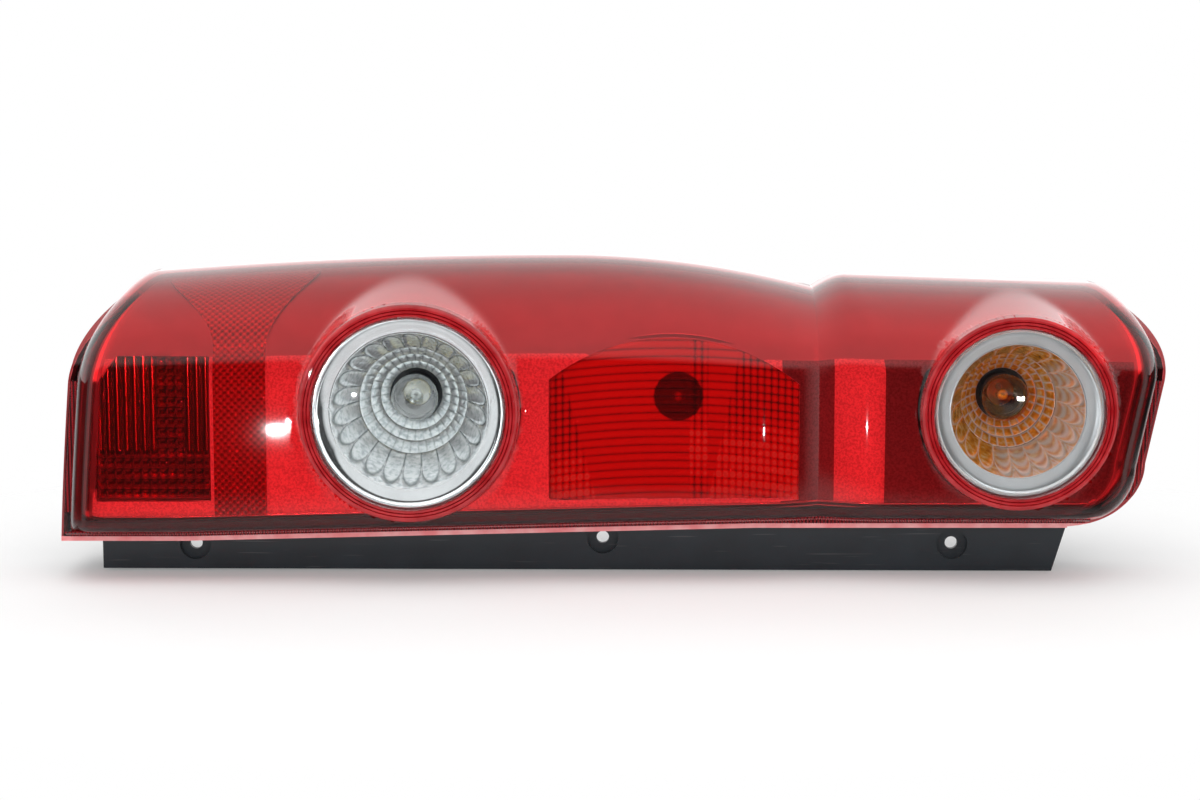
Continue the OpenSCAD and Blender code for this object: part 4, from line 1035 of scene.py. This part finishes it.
class LAMP_OT_bezel(bpy.types.Operator):
    """Build the metallised bezel behind the lens, with its openings and beads."""

    bl_idname = "lamp.bezel"
    bl_label = "Inner bezel"

    def execute(self, context):
        grid = context.scene.lamp_sizes.grid
        along, across = stations(grid), rows(grid, LAND_ROW, REAR_LAND, 72)
        outer, inner = skin(along, across, BEZEL_GAP), skin(along, across, BEZEL_GAP + BEZEL_WALL)
        outer = hooded(outer, across, LENS_WALL + 0.6, THROAT_Z - 2, THROAT_Y)
        inner = hooded(inner, across, LENS_WALL + 0.6 + BEZEL_WALL, THROAT_Z - 2, THROAT_Y + 1)
        risen = share_risen(along, across)
        bead = np.exp(-(((risen - 0.79) / 0.03) ** 2)) + np.exp(-(((risen - 0.945) / 0.012) ** 2))
        outer[..., 1] -= 0.7 * bead * (across[0] <= SHOULDER_ROW)[None, :]
        over = (across[0] > SHOULDER_ROW) | ((across[0] == SHOULDER_ROW) & (across[1] > 16))
        outer[..., 1] += 0.6 * over * np.where(across[0] == SHOULDER_ROW, ease((60 - across[1]) / 30), 0)
        mean = (risen[1:, 1:] + risen[:-1, 1:] + risen[1:, :-1] + risen[:-1, :-1]) / 4
        # The valley's floor, from 22 mm before the dip's lowest line to 8 mm past it, gets painted shade,
        # as does the bezel right of the ridge
        before = (along[0] == TO_DIP) & (along[1] > 0.942)
        valley = before | ((along[0] == TO_RIDGE) & (along[1] < 0.25))
        # Finishes up the wall: painted shade low on the wall, painted highlights on the two beads, smooth
        # plating between, and painted shade right of the ridge and in the valley
        finish = np.select(
            [mean < 0.60, mean < 0.75, mean < 0.81, mean < 0.93, mean < 0.96, over[:-1][None, :],
             (along[0] >= TO_RIGHT)[:-1, None] & (mean > 0), valley[:-1, None] & (mean > 0)],
            [2, 1, 3, 1, 3, 1, 4, 4], 0,
        )
        seat = [(0.0, 0.8, False), (0.0, OPTIC_BACK - 0.4, True), (1.6, OPTIC_BACK - 0.4, True)]
        openings = [
            *((self.collar_outline(*lamp), [(-0.2, 1.2, False)], [1, 1], self.throat_edge)
              for lamp in LAMPS),
            *((outline, seat, [3, 1, 1, 1], None) for outline in (stop_outline, fog_outline)),
        ]
        allowed = (across[0] >= WALL_ROW) & (across[0] <= SHOULDER_ROW)
        body = pierced(outer, inner, openings, finish, allowed)
        names = ("bezel", "bezel_smooth", "bezel_dark", "bezel_line", "bezel_deep")
        make(
            "inner_bezel_visual", body, [FINISHES[n] for n in names],
            ("inner_bezel",), 40,
        )
        return {"FINISHED"}

    @staticmethod
    def collar_outline(x, r, angle):
        """A circle round the collar that narrows to the throat above THROAT_Z."""
        tan = math.tan(math.radians(angle))
        low = r + COLLAR_WIDTH + 1.7
        high = r + COLLAR_WIDTH + (THROAT_Y - COLLAR_Y) * tan - LENS_WALL - 0.6 - 0.9

        def distance(px, pz):
            rho = np.hypot(px - x, pz - WINDOW_Z)
            return rho - mix(low, high, ease((pz - THROAT_Z + 3) / 6))
        return distance

    @staticmethod
    def throat_edge(z, y):
        """The throat's edge lies just behind the collar."""
        return np.where(z > THROAT_Z, np.minimum(y, THROAT_Y), y)


class LAMP_OT_optics(bpy.types.Operator):
    """Build the ribbed inner lenses and the reflex panel."""

    bl_idname = "lamp.optics"
    bl_label = "Optics"

    def execute(self, context):
        sizes = context.scene.lamp_sizes
        self.stop(sizes.optic_pitch, sizes.cell_pitch)
        self.fog()
        self.reflex(sizes.reflex_pitch)
        return {"FINISHED"}

    @staticmethod
    def stop(pitch, cell):
        """Horizontal barrels that droop to the sides, cut into cells left, right and in one column."""
        x = np.linspace(STOP_LEFT + FIT, STOP_RIGHT - FIT, 261)[:, None]
        r = STOP_ARC_R - FIT
        high = STOP_ARC_Z + np.sqrt(np.maximum(r * r - (x - STOP_ARC_X) ** 2, 0))
        z = mix(STOP_LOW + FIT, high, np.linspace(0, 1, 176)[None, :])
        x = x + 0 * z
        bend = z + 0.0011 * (x - STOP_ARC_X) ** 2
        barrel = 0.3 + 0.7 * np.abs(np.sin(math.pi * bend / pitch)) ** 0.8
        split = 0.3 + 0.7 * np.abs(np.sin(math.pi * (x - STOP_LEFT) / cell)) ** 0.8
        left = ease((STOP_LEFT + 24 - 0.25 * (z - 30) - x) / 2)
        right = ease((x - STOP_RIGHT + 47 - 0.2 * (z - 30)) / 2)
        column = ease(x - 44.5) * ease(55 - x)
        some = np.clip(left + right + column, 0, 1)
        step = 0.9 * barrel * mix(1.0, split, some) + 0.5 * column
        number = np.floor((x - STOP_LEFT) / cell) * 12.9 + np.floor(bend / pitch) * 78.2
        chance = np.sin(number) * 0.5 + 0.5
        # Painted light: cells lighter towards the lower right and lower left, and painted highlights down
        # the column, each cell at a random strength
        lit = right * ease((75 - z) / 30) + left * ease((60 - z) / 30)
        lit = lit + column * np.exp(-(((z - 52) / 13) ** 2))
        glow = 0.6 + 0.8 * np.clip(lit, 0, 1) * (0.35 + 0.65 * chance)
        # Painted shade and a painted highlight: the reflector's bulb hole is painted as a dark disc, with
        # the bulb's tip a bright spot in it
        away = np.hypot(x - STOP_X, z - WINDOW_Z - 7) / HOLE_R
        glow = glow * (0.2 + 0.8 * ease((away - 0.86) / 0.1)) + 0.35 * np.exp(-((away / 0.13) ** 2))
        edge = ease(x - STOP_LEFT - 0.4) * ease(STOP_RIGHT - 0.4 - x) * ease(high - 0.4 - z)
        front = np.stack([x, OPTIC_BACK - 2.2 - step * edge, z], -1)
        back = np.stack([x, np.full(x.shape, OPTIC_BACK), z], -1)
        # The cell value paints the optic's light: painted shade along the grooves between barrels and
        # cells, painted light on their crests
        make(
            "stop_optic_visual", shell(front, back, cell=barrel * mix(1.0, split, some) * glow),
            [FINISHES["optic"]], ("stop_optic",), 50,
        )

    @staticmethod
    def fog():
        """Upright barrels, cut across into blocks below and in one column."""
        z = np.linspace(STOP_LOW + FIT, FOG_HIGH - FIT, 152)[None, :]
        cut = np.clip(z - (FOG_HIGH - FOG_CUT), 0, FOG_CUT) * 0.75
        low = FOG_LEFT + 3 * ease((z - 30) / 60) + FIT + cut
        x = mix(low, FOG_RIGHT - FIT, np.linspace(0, 1, 126)[:, None])
        z = z + 0 * x
        barrel = np.abs(np.sin(math.pi * (x - FOG_LEFT) / FOG_BAR)) ** 0.6
        block = np.abs(np.sin(math.pi * (z - STOP_LOW) / FOG_BLOCK)) ** 0.6
        some = np.clip(ease((52 - z) / 3) + ease(x + 232) * ease(-217 - x), 0, 1)
        step = mix(0.6, 1.0, some) * barrel * mix(1.0, block, some)
        bar, row = np.floor((x - FOG_LEFT) / FOG_BAR), np.floor((z - STOP_LOW) / FOG_BLOCK)
        chance = mix(np.sin(bar * 12.9) * 0.5 + 0.5, np.sin(bar * 12.9 + row * 78.2) * 0.5 + 0.5, some)
        # The cell value is painted light: painted shade in the grooves and painted glints on the crests,
        # brighter on random bars and blocks
        front = np.stack([x, OPTIC_BACK - 2.2 - step, z], -1)
        back = np.stack([x, np.full(x.shape, OPTIC_BACK), z], -1)
        make(
            "fog_optic_visual", shell(front, back, cell=step * (0.5 + 0.5 * chance**2)),
            [FINISHES["fog_optic"]], ("fog_optic",), 50,
        )

    @staticmethod
    def reflex(pitch):
        """Pyramids on a diamond grid: the sum of two slanted zigzags, laid over the skin."""
        along = (np.full(61, REFLEX), np.linspace(0, 1, 61))
        across = rows(0.62, WALL_ROW, SHOULDER_ROW)
        low = (across[0] == WALL_ROW) & (across[1] < 85)
        high = (across[0] == SHOULDER_ROW) & (across[1] > 79)
        across = (across[0][~low & ~high], across[1][~low & ~high])
        inset = LENS_WALL + FIT
        face, back = skin(along, across, inset), skin(along, across, inset + 1.8)
        arc = np.cumsum(np.hypot(*np.diff(face[..., 1:], axis=1, prepend=face[:, :1, 1:]).T).T, axis=1)
        u, v = (face[..., 0] + arc) / (pitch * 1.414), (face[..., 0] - arc) / (pitch * 1.414)
        zigzag = lambda s: np.abs((s % 1.0) * 2 - 1)
        relief_in = 0.55 * (zigzag(u) + zigzag(v))
        toward = back - face
        toward /= np.linalg.norm(toward, axis=-1, keepdims=True)
        face = face + toward * (relief_in * 0.9)[..., None]
        # The cell value paints light: painted glints on the pyramids' points, painted shade in the
        # hollows between them
        make(
            "reflex_panel_visual", shell(face, back, cell=1 - relief_in / 1.1), [FINISHES["reflex"]],
            ("reflex_panel",), 14,
        )


class LAMP_OT_bulbs(bpy.types.Operator):
    """Build the glass, the filament and the cap of each bulb."""

    bl_idname = "lamp.bulbs"
    bl_label = "Bulbs"

    def execute(self, context):
        for name, x, glass, slot in (
            ("reverse", REVERSE_X, "glass", "bulb_glass"),
            ("indicator", INDICATOR_X, "amber_glass", "amber_glass"),
            ("stop", STOP_X, "red_glass", "bulb_glass"),
            ("fog", FOG_X, "red_glass", "bulb_glass"),
        ):
            turn = np.radians(np.linspace(0, 90, 17))
            outer = list(zip(GLASS_R * np.sin(turn), GLASS_TIP + GLASS_R * (1 - np.cos(turn))))
            s = np.linspace(0, 1, 10)[1:]
            neck = mix(GLASS_R, CAP_R - 0.9, ease(s))
            outer += list(zip(neck, mix(GLASS_TIP + GLASS_R + 3, CAP_FRONT - 3, s)))
            outer += [(CAP_R - 0.9, CAP_FRONT - 0.05), (0.0, CAP_FRONT - 0.05)]
            make(
                name + "_bulb_visual", lathe(outer, x, 64, closed=False), [FINISHES[glass]],
                (name + "_bulb_glass",), 40,
            )
            self.cap(name, x)
            self.filament(name, x)
        return {"FINISHED"}

    @staticmethod
    def cap(name, x):
        """A drawn cap with a rolled edge, a waist and a soldered foot, and two round lock pins."""
        r = CAP_R - 0.2
        profile = [
            (0.0, CAP_FRONT + 0.1), (r - 1.4, CAP_FRONT + 0.1), (r - 0.5, CAP_FRONT),
            (r, CAP_FRONT + 0.5), (r, CAP_FRONT + 1.4), (r - 0.35, CAP_FRONT + 1.9),
            (r - 0.35, CAP_FRONT + 2.6), (r, CAP_FRONT + 3.1),
            (r, CAP_BACK - 2.6), (r - 0.5, CAP_BACK - 2.0), (4.2, CAP_BACK - 0.4), (3.2, CAP_BACK - 0.4),
            (2.4, CAP_BACK - 0.1), (0.0, CAP_BACK),
        ]
        parts = [lathe(profile, x, 64, closed=False)]
        t = np.linspace(0, 2 * math.pi, 16, endpoint=False)[None, :]
        for side in (-1, 1):
            reach = np.array([r - 1, CAP_R + 0.6, CAP_R + 0.9, CAP_R + 0.9])[:, None]
            radius = np.array([0.9, 0.9, 0.6, 0.0])[:, None]
            pin = np.stack([
                x + side * reach + 0 * t, CAP_BACK - 7 + radius * np.cos(t), WINDOW_Z + radius * np.sin(t)
            ], -1)
            root = np.broadcast_to(pin[:1].mean(1, keepdims=True), pin[:1].shape)
            parts.append(sheet(np.concatenate([root, pin]), 0, False, True))
        make(
            name + "_cap_visual", join(*parts), [FINISHES["brass"]],
            (name + "_bulb_cap",), 35,
        )

    @staticmethod
    def filament(name, x):
        """A glass bead, two lead wires and a coil between their tips, as tubes along paths."""
        def tube(path, radius, sides=8):
            """Rings of points square to the path, closed by a point at each end."""
            path = np.asarray(path, float)
            way = np.gradient(path, axis=0)
            way /= np.linalg.norm(way, axis=1, keepdims=True)
            side = np.cross(way, [0.0, 0.3, 1.0])
            side /= np.linalg.norm(side, axis=1, keepdims=True)
            other = np.cross(way, side)
            t = np.linspace(0, 2 * math.pi, sides, endpoint=False)
            ring = side[:, None] * np.cos(t)[None, :, None] + other[:, None] * np.sin(t)[None, :, None]
            body = path[:, None] + radius * ring
            caps = [np.broadcast_to(path[k], (1, sides, 3)) for k in (0, -1)]
            return sheet(np.concatenate([caps[0], body, caps[1]]), 0, False, True)

        s = np.linspace(0, 1, 9)[:, None]
        parts = []
        for side in (-1, 1):
            a = np.array([x + side * 2.0, CAP_FRONT + 0.3, WINDOW_Z])
            b = np.array([x + side * 4.2, 10.5, WINDOW_Z])
            path = mix(a, b, s)
            path[:, 0] += side * 0.8 * np.sin(math.pi * s[:, 0])
            parts.append(tube(path, 0.28))
        t = np.linspace(0, 1, 121)
        coil = np.stack([
            mix(x - 4.2, x + 4.2, t), 10.5 - 1.2 * np.sin(math.pi * t) + 0.42 * np.cos(24 * math.pi * t),
            WINDOW_Z + 0.42 * np.sin(24 * math.pi * t)
        ], -1)
        parts.append(tube(coil, 0.13, 6))
        foot = CAP_FRONT + 0.2
        bead = [(0.0, 21.0), (2.2, 21.4), (3.2, 22.4), (3.2, 24.0), (2.4, foot), (0.0, foot)]
        parts.append(lathe(bead, x, 24, closed=False))
        make(name + "_filament", join(*parts), [FINISHES["wire"]], (), 50)


class LAMP_OT_carried_over(bpy.types.Operator):
    """Give the CAD nodes that stay their finishes."""

    bl_idname = "lamp.carried_over"
    bl_label = "Carried-over pieces"

    def execute(self, context):
        kept = {
            "housing": "housing", "bulb_carrier": "carrier", "carrier_gasket": "foam",
            "body_gasket": "foam", "contact_strips": "brass", "connector_pins": "brass",
            "carrier_screws": "zinc", "bezel_screws": "zinc", "vent_caps": "vent",
            "stop_reflector": "reflector", "fog_reflector": "reflector",
        }
        for name, finish in kept.items():
            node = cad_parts.get(name)
            if node is None:
                raise RuntimeError("the frame has no node " + name)
            if not node.material_slots:
                node.data.materials.append(None)
            for held in node.material_slots:
                held.material = FINISHES[finish]
        return {"FINISHED"}


class LAMP_OT_stage(bpy.types.Operator):
    """Set up the camera, the lamps, the world and the floor."""

    bl_idname = "lamp.stage"
    bl_label = "Stage"

    def execute(self, context):
        stage = context.scene.lamp_stage
        scene = context.scene
        target = Vector((-0.0015, -0.020, 0.0768))
        back = Vector((0, -math.cos(stage.elevation), math.sin(stage.elevation)))
        lens = bpy.data.cameras.new("camera")
        lens.lens, lens.sensor_width = stage.focal, 36.0
        camera = bpy.data.objects.new("camera", lens)
        camera.location = target + back * stage.distance
        camera.rotation_euler = (-back).to_track_quat("-Z", "Y").to_euler()
        lens.clip_start, lens.clip_end = 0.05, 60.0
        scene.collection.objects.link(camera)
        scene.camera = camera
        scene.view_settings.view_transform = "Standard"
        for name, place_at, aim, size, power in (
            ("overhead", (0.0, -0.25, 1.15), (0.0, 0.0, 0.08), (1.9, 1.0), stage.overhead),
            ("front", (0.0, -2.2, 0.6), (0.0, 0.0, 0.07), (2.4, 0.9), stage.front),
            ("spark", (-0.334, -1.45, -0.10), (0.0, 0.0, 0.07), (0.008, 0.004), stage.spark),
            ("back", (0.0, 0.95, 0.85), (0.0, 0.0, 0.10), (1.8, 0.9), stage.back),
            ("spark_right", (0.42, -1.45, -0.10), (0.1, 0.0, 0.07), (0.02, 0.01), stage.spark * 0.25),
        ):
            data = bpy.data.lights.new(name, "AREA")
            data.shape, data.size, data.size_y, data.energy = "RECTANGLE", size[0], size[1], power
            lamp = bpy.data.objects.new(name, data)
            lamp.location = place_at
            lamp.rotation_euler = (Vector(aim) - Vector(place_at)).to_track_quat("-Z", "Y").to_euler()
            # Metal and plastic mirror the world's even tent, and of the lamps only the small ones
            lamp.visible_glossy = name.startswith("spark")
            scene.collection.objects.link(lamp)
        self.world(scene)
        self.floor(stage.floor)
        return {"FINISHED"}

    @staticmethod
    def world(scene):
        """A white tent with the dark room behind the camera, low in front, and a soft grey fill.

        Glossy rays see the larger of two levels. One follows the height of the direction, as the
        angle over the front horizon: dark below 19 degrees, bright from 28 and brighter from 60 to
        140. The other follows its turn from a line 5 degrees right of the front: dark within 41
        degrees, bright from 52 to 72, dark from 83 to 126 and bright from 144. From the second
        bounce on they see one high level, which stands for the light inside the lamp.
        """
        made = bpy.data.worlds.new("studio")
        made.use_nodes = True
        tree = made.node_tree
        tree.nodes.clear()
        path = add(tree, "ShaderNodeLightPath")
        dark, bright, fill, second = 0.05, 0.95, 0.6, 2.8
        way = add(tree, "ShaderNodeSeparateXYZ", _0=add(tree, "ShaderNodeTexCoord").outputs["Generated"])
        front = add(
            tree, "ShaderNodeMath", {"operation": "MULTIPLY"}, _0=way.outputs["Y"], _1=-1.0
        ).outputs[0]
        height = add(
            tree, "ShaderNodeMath", {"operation": "ARCTAN2"}, _0=way.outputs["Z"], _1=front
        ).outputs[0]
        room = add(
            tree, "ShaderNodeMapRange", {"interpolation_type": "SMOOTHSTEP"}, Value=height,
            From_Min=math.radians(19), From_Max=math.radians(28), To_Min=dark, To_Max=bright,
        ).outputs[0]
        crown = add(
            tree, "ShaderNodeMapRange", Value=height, From_Min=math.radians(60),
            From_Max=math.radians(140), To_Min=0.0, To_Max=0.75,
        ).outputs[0]
        room = add(tree, "ShaderNodeMath", {"operation": "ADD"}, _0=room, _1=crown).outputs[0]
        turn = add(
            tree, "ShaderNodeMath", {"operation": "ARCTAN2"}, _0=way.outputs["X"], _1=front
        ).outputs[0]
        aside = add(
            tree, "ShaderNodeMath", {"operation": "SUBTRACT"}, _0=turn, _1=math.radians(5)
        ).outputs[0]
        aside = add(tree, "ShaderNodeMath", {"operation": "ABSOLUTE"}, _0=aside).outputs[0]
        aside = add(tree, "ShaderNodeMath", {"operation": "DIVIDE"}, _0=aside, _1=math.pi).outputs[0]
        walls = (0.23, dark), (0.29, bright), (0.40, bright), (0.46, dark), (0.70, dark), (0.80, bright)
        stops = [(at, grey(level)) for at, level in walls]
        backdrop = add(tree, "ShaderNodeValToRGB", {"stops": stops}, _0=aside).outputs["Color"]
        mirrored = add(tree, "ShaderNodeMath", {"operation": "MAXIMUM"}, _0=room, _1=backdrop).outputs[0]
        again = add(
            tree, "ShaderNodeMath", {"operation": "GREATER_THAN"}, _0=path.outputs["Glossy Depth"], _1=1.5
        ).outputs[0]
        mirrored = add(tree, "ShaderNodeMix", _0=again, _2=mirrored, _3=second).outputs[0]
        shown = add(
            tree, "ShaderNodeMath", {"operation": "MAXIMUM"}, _0=path.outputs["Is Camera Ray"],
            _1=path.outputs["Is Transmission Ray"],
        ).outputs[0]
        level = add(
            tree, "ShaderNodeMix", _0=path.outputs["Is Glossy Ray"], _2=fill, _3=mirrored
        ).outputs[0]
        level = add(tree, "ShaderNodeMix", _0=shown, _2=level, _3=1.0).outputs[0]
        sky = add(tree, "ShaderNodeBackground", Color=grey(1.0), Strength=level).outputs[0]
        add(tree, "ShaderNodeOutputWorld", Surface=sky)
        scene.world = made

    @staticmethod
    def floor(height):
        """A white disc that fades into the white background away from the lamp."""
        t = np.linspace(0, 2 * math.pi, 64, endpoint=False)
        points = np.stack([2.2 * np.cos(t), 2.2 * np.sin(t), np.full(64, height)], -1)
        mesh = bpy.data.meshes.new("floor")
        mesh.from_pydata(points.tolist(), [], [list(range(64))])
        made, tree = blank("paper_white")
        where = add(tree, "ShaderNodeTexCoord").outputs["Object"]
        flat = add(tree, "ShaderNodeMapping", Vector=where, Scale=(0.9, 1.3, 0.0)).outputs[0]
        away = add(tree, "ShaderNodeVectorMath", {"operation": "LENGTH"}, _0=flat).outputs["Value"]
        tone = shade(tree, "Noise", [(0.2, grey(0.86)), (0.8, grey(0.89))], 900.0)
        matte = add(tree, "ShaderNodeBsdfDiffuse", Color=tone).outputs[0]
        seen = add(tree, "ShaderNodeLightPath").outputs["Is Camera Ray"]
        lift = add(tree, "ShaderNodeMath", {"operation": "MULTIPLY"}, _0=seen, _1=0.14).outputs[0]
        glow = add(tree, "ShaderNodeEmission", Color=grey(1.0), Strength=lift).outputs[0]
        matte = add(tree, "ShaderNodeAddShader", _0=matte, _1=glow).outputs[0]
        gone = add(tree, "ShaderNodeBsdfTransparent").outputs[0]
        fade = add(tree, "ShaderNodeValToRGB", {"stops": [(0.24, grey(0.0)), (0.52, grey(1.0))]}, _0=away)
        fade.color_ramp.interpolation = "EASE"
        mixed = add(
            tree, "ShaderNodeMixShader", _0=fade.outputs["Color"], _1=matte, _2=gone
        ).outputs[0]
        add(tree, "ShaderNodeOutputMaterial", Surface=mixed)
        mesh.materials.append(made)
        disc = bpy.data.objects.new("floor", mesh)
        bpy.context.scene.collection.objects.link(disc)


class LAMP_PT_panel(bpy.types.Panel):
    """Lists the lamp's pieces in the sidebar."""

    bl_idname = "LAMP_PT_panel"
    bl_label = "Rear lamp cluster"
    bl_space_type = "VIEW_3D"
    bl_region_type = "UI"
    bl_category = "Lamp"

    def draw(self, context):
        for operator in OPERATORS:
            self.layout.operator(operator.bl_idname)


OPERATORS = (
    LAMP_OT_outer_lens, LAMP_OT_windows, LAMP_OT_bowls, LAMP_OT_bezel, LAMP_OT_optics, LAMP_OT_bulbs,
    LAMP_OT_carried_over, LAMP_OT_stage,
)
GROUPS = (LampSizes, LampColours, LampStage)
CLASSES = GROUPS + OPERATORS + (LAMP_PT_panel,)


def register():
    for cls in CLASSES:
        bpy.utils.register_class(cls)
    bpy.types.Scene.lamp_sizes = PointerProperty(type=LampSizes)
    bpy.types.Scene.lamp_colours = PointerProperty(type=LampColours)
    bpy.types.Scene.lamp_stage = PointerProperty(type=LampStage)


def unregister():
    del bpy.types.Scene.lamp_sizes, bpy.types.Scene.lamp_colours, bpy.types.Scene.lamp_stage
    for cls in reversed(CLASSES):
        bpy.utils.unregister_class(cls)


def main():
    register()
    FINISHES.update(finishes())
    bpy.ops.lamp.outer_lens()
    bpy.ops.lamp.windows()
    bpy.ops.lamp.bowls()
    bpy.ops.lamp.bezel()
    bpy.ops.lamp.optics()
    bpy.ops.lamp.bulbs()
    bpy.ops.lamp.carried_over()
    bpy.ops.lamp.stage()
    bpy.context.view_layer.update()


if __name__ == "__main__":
    main()
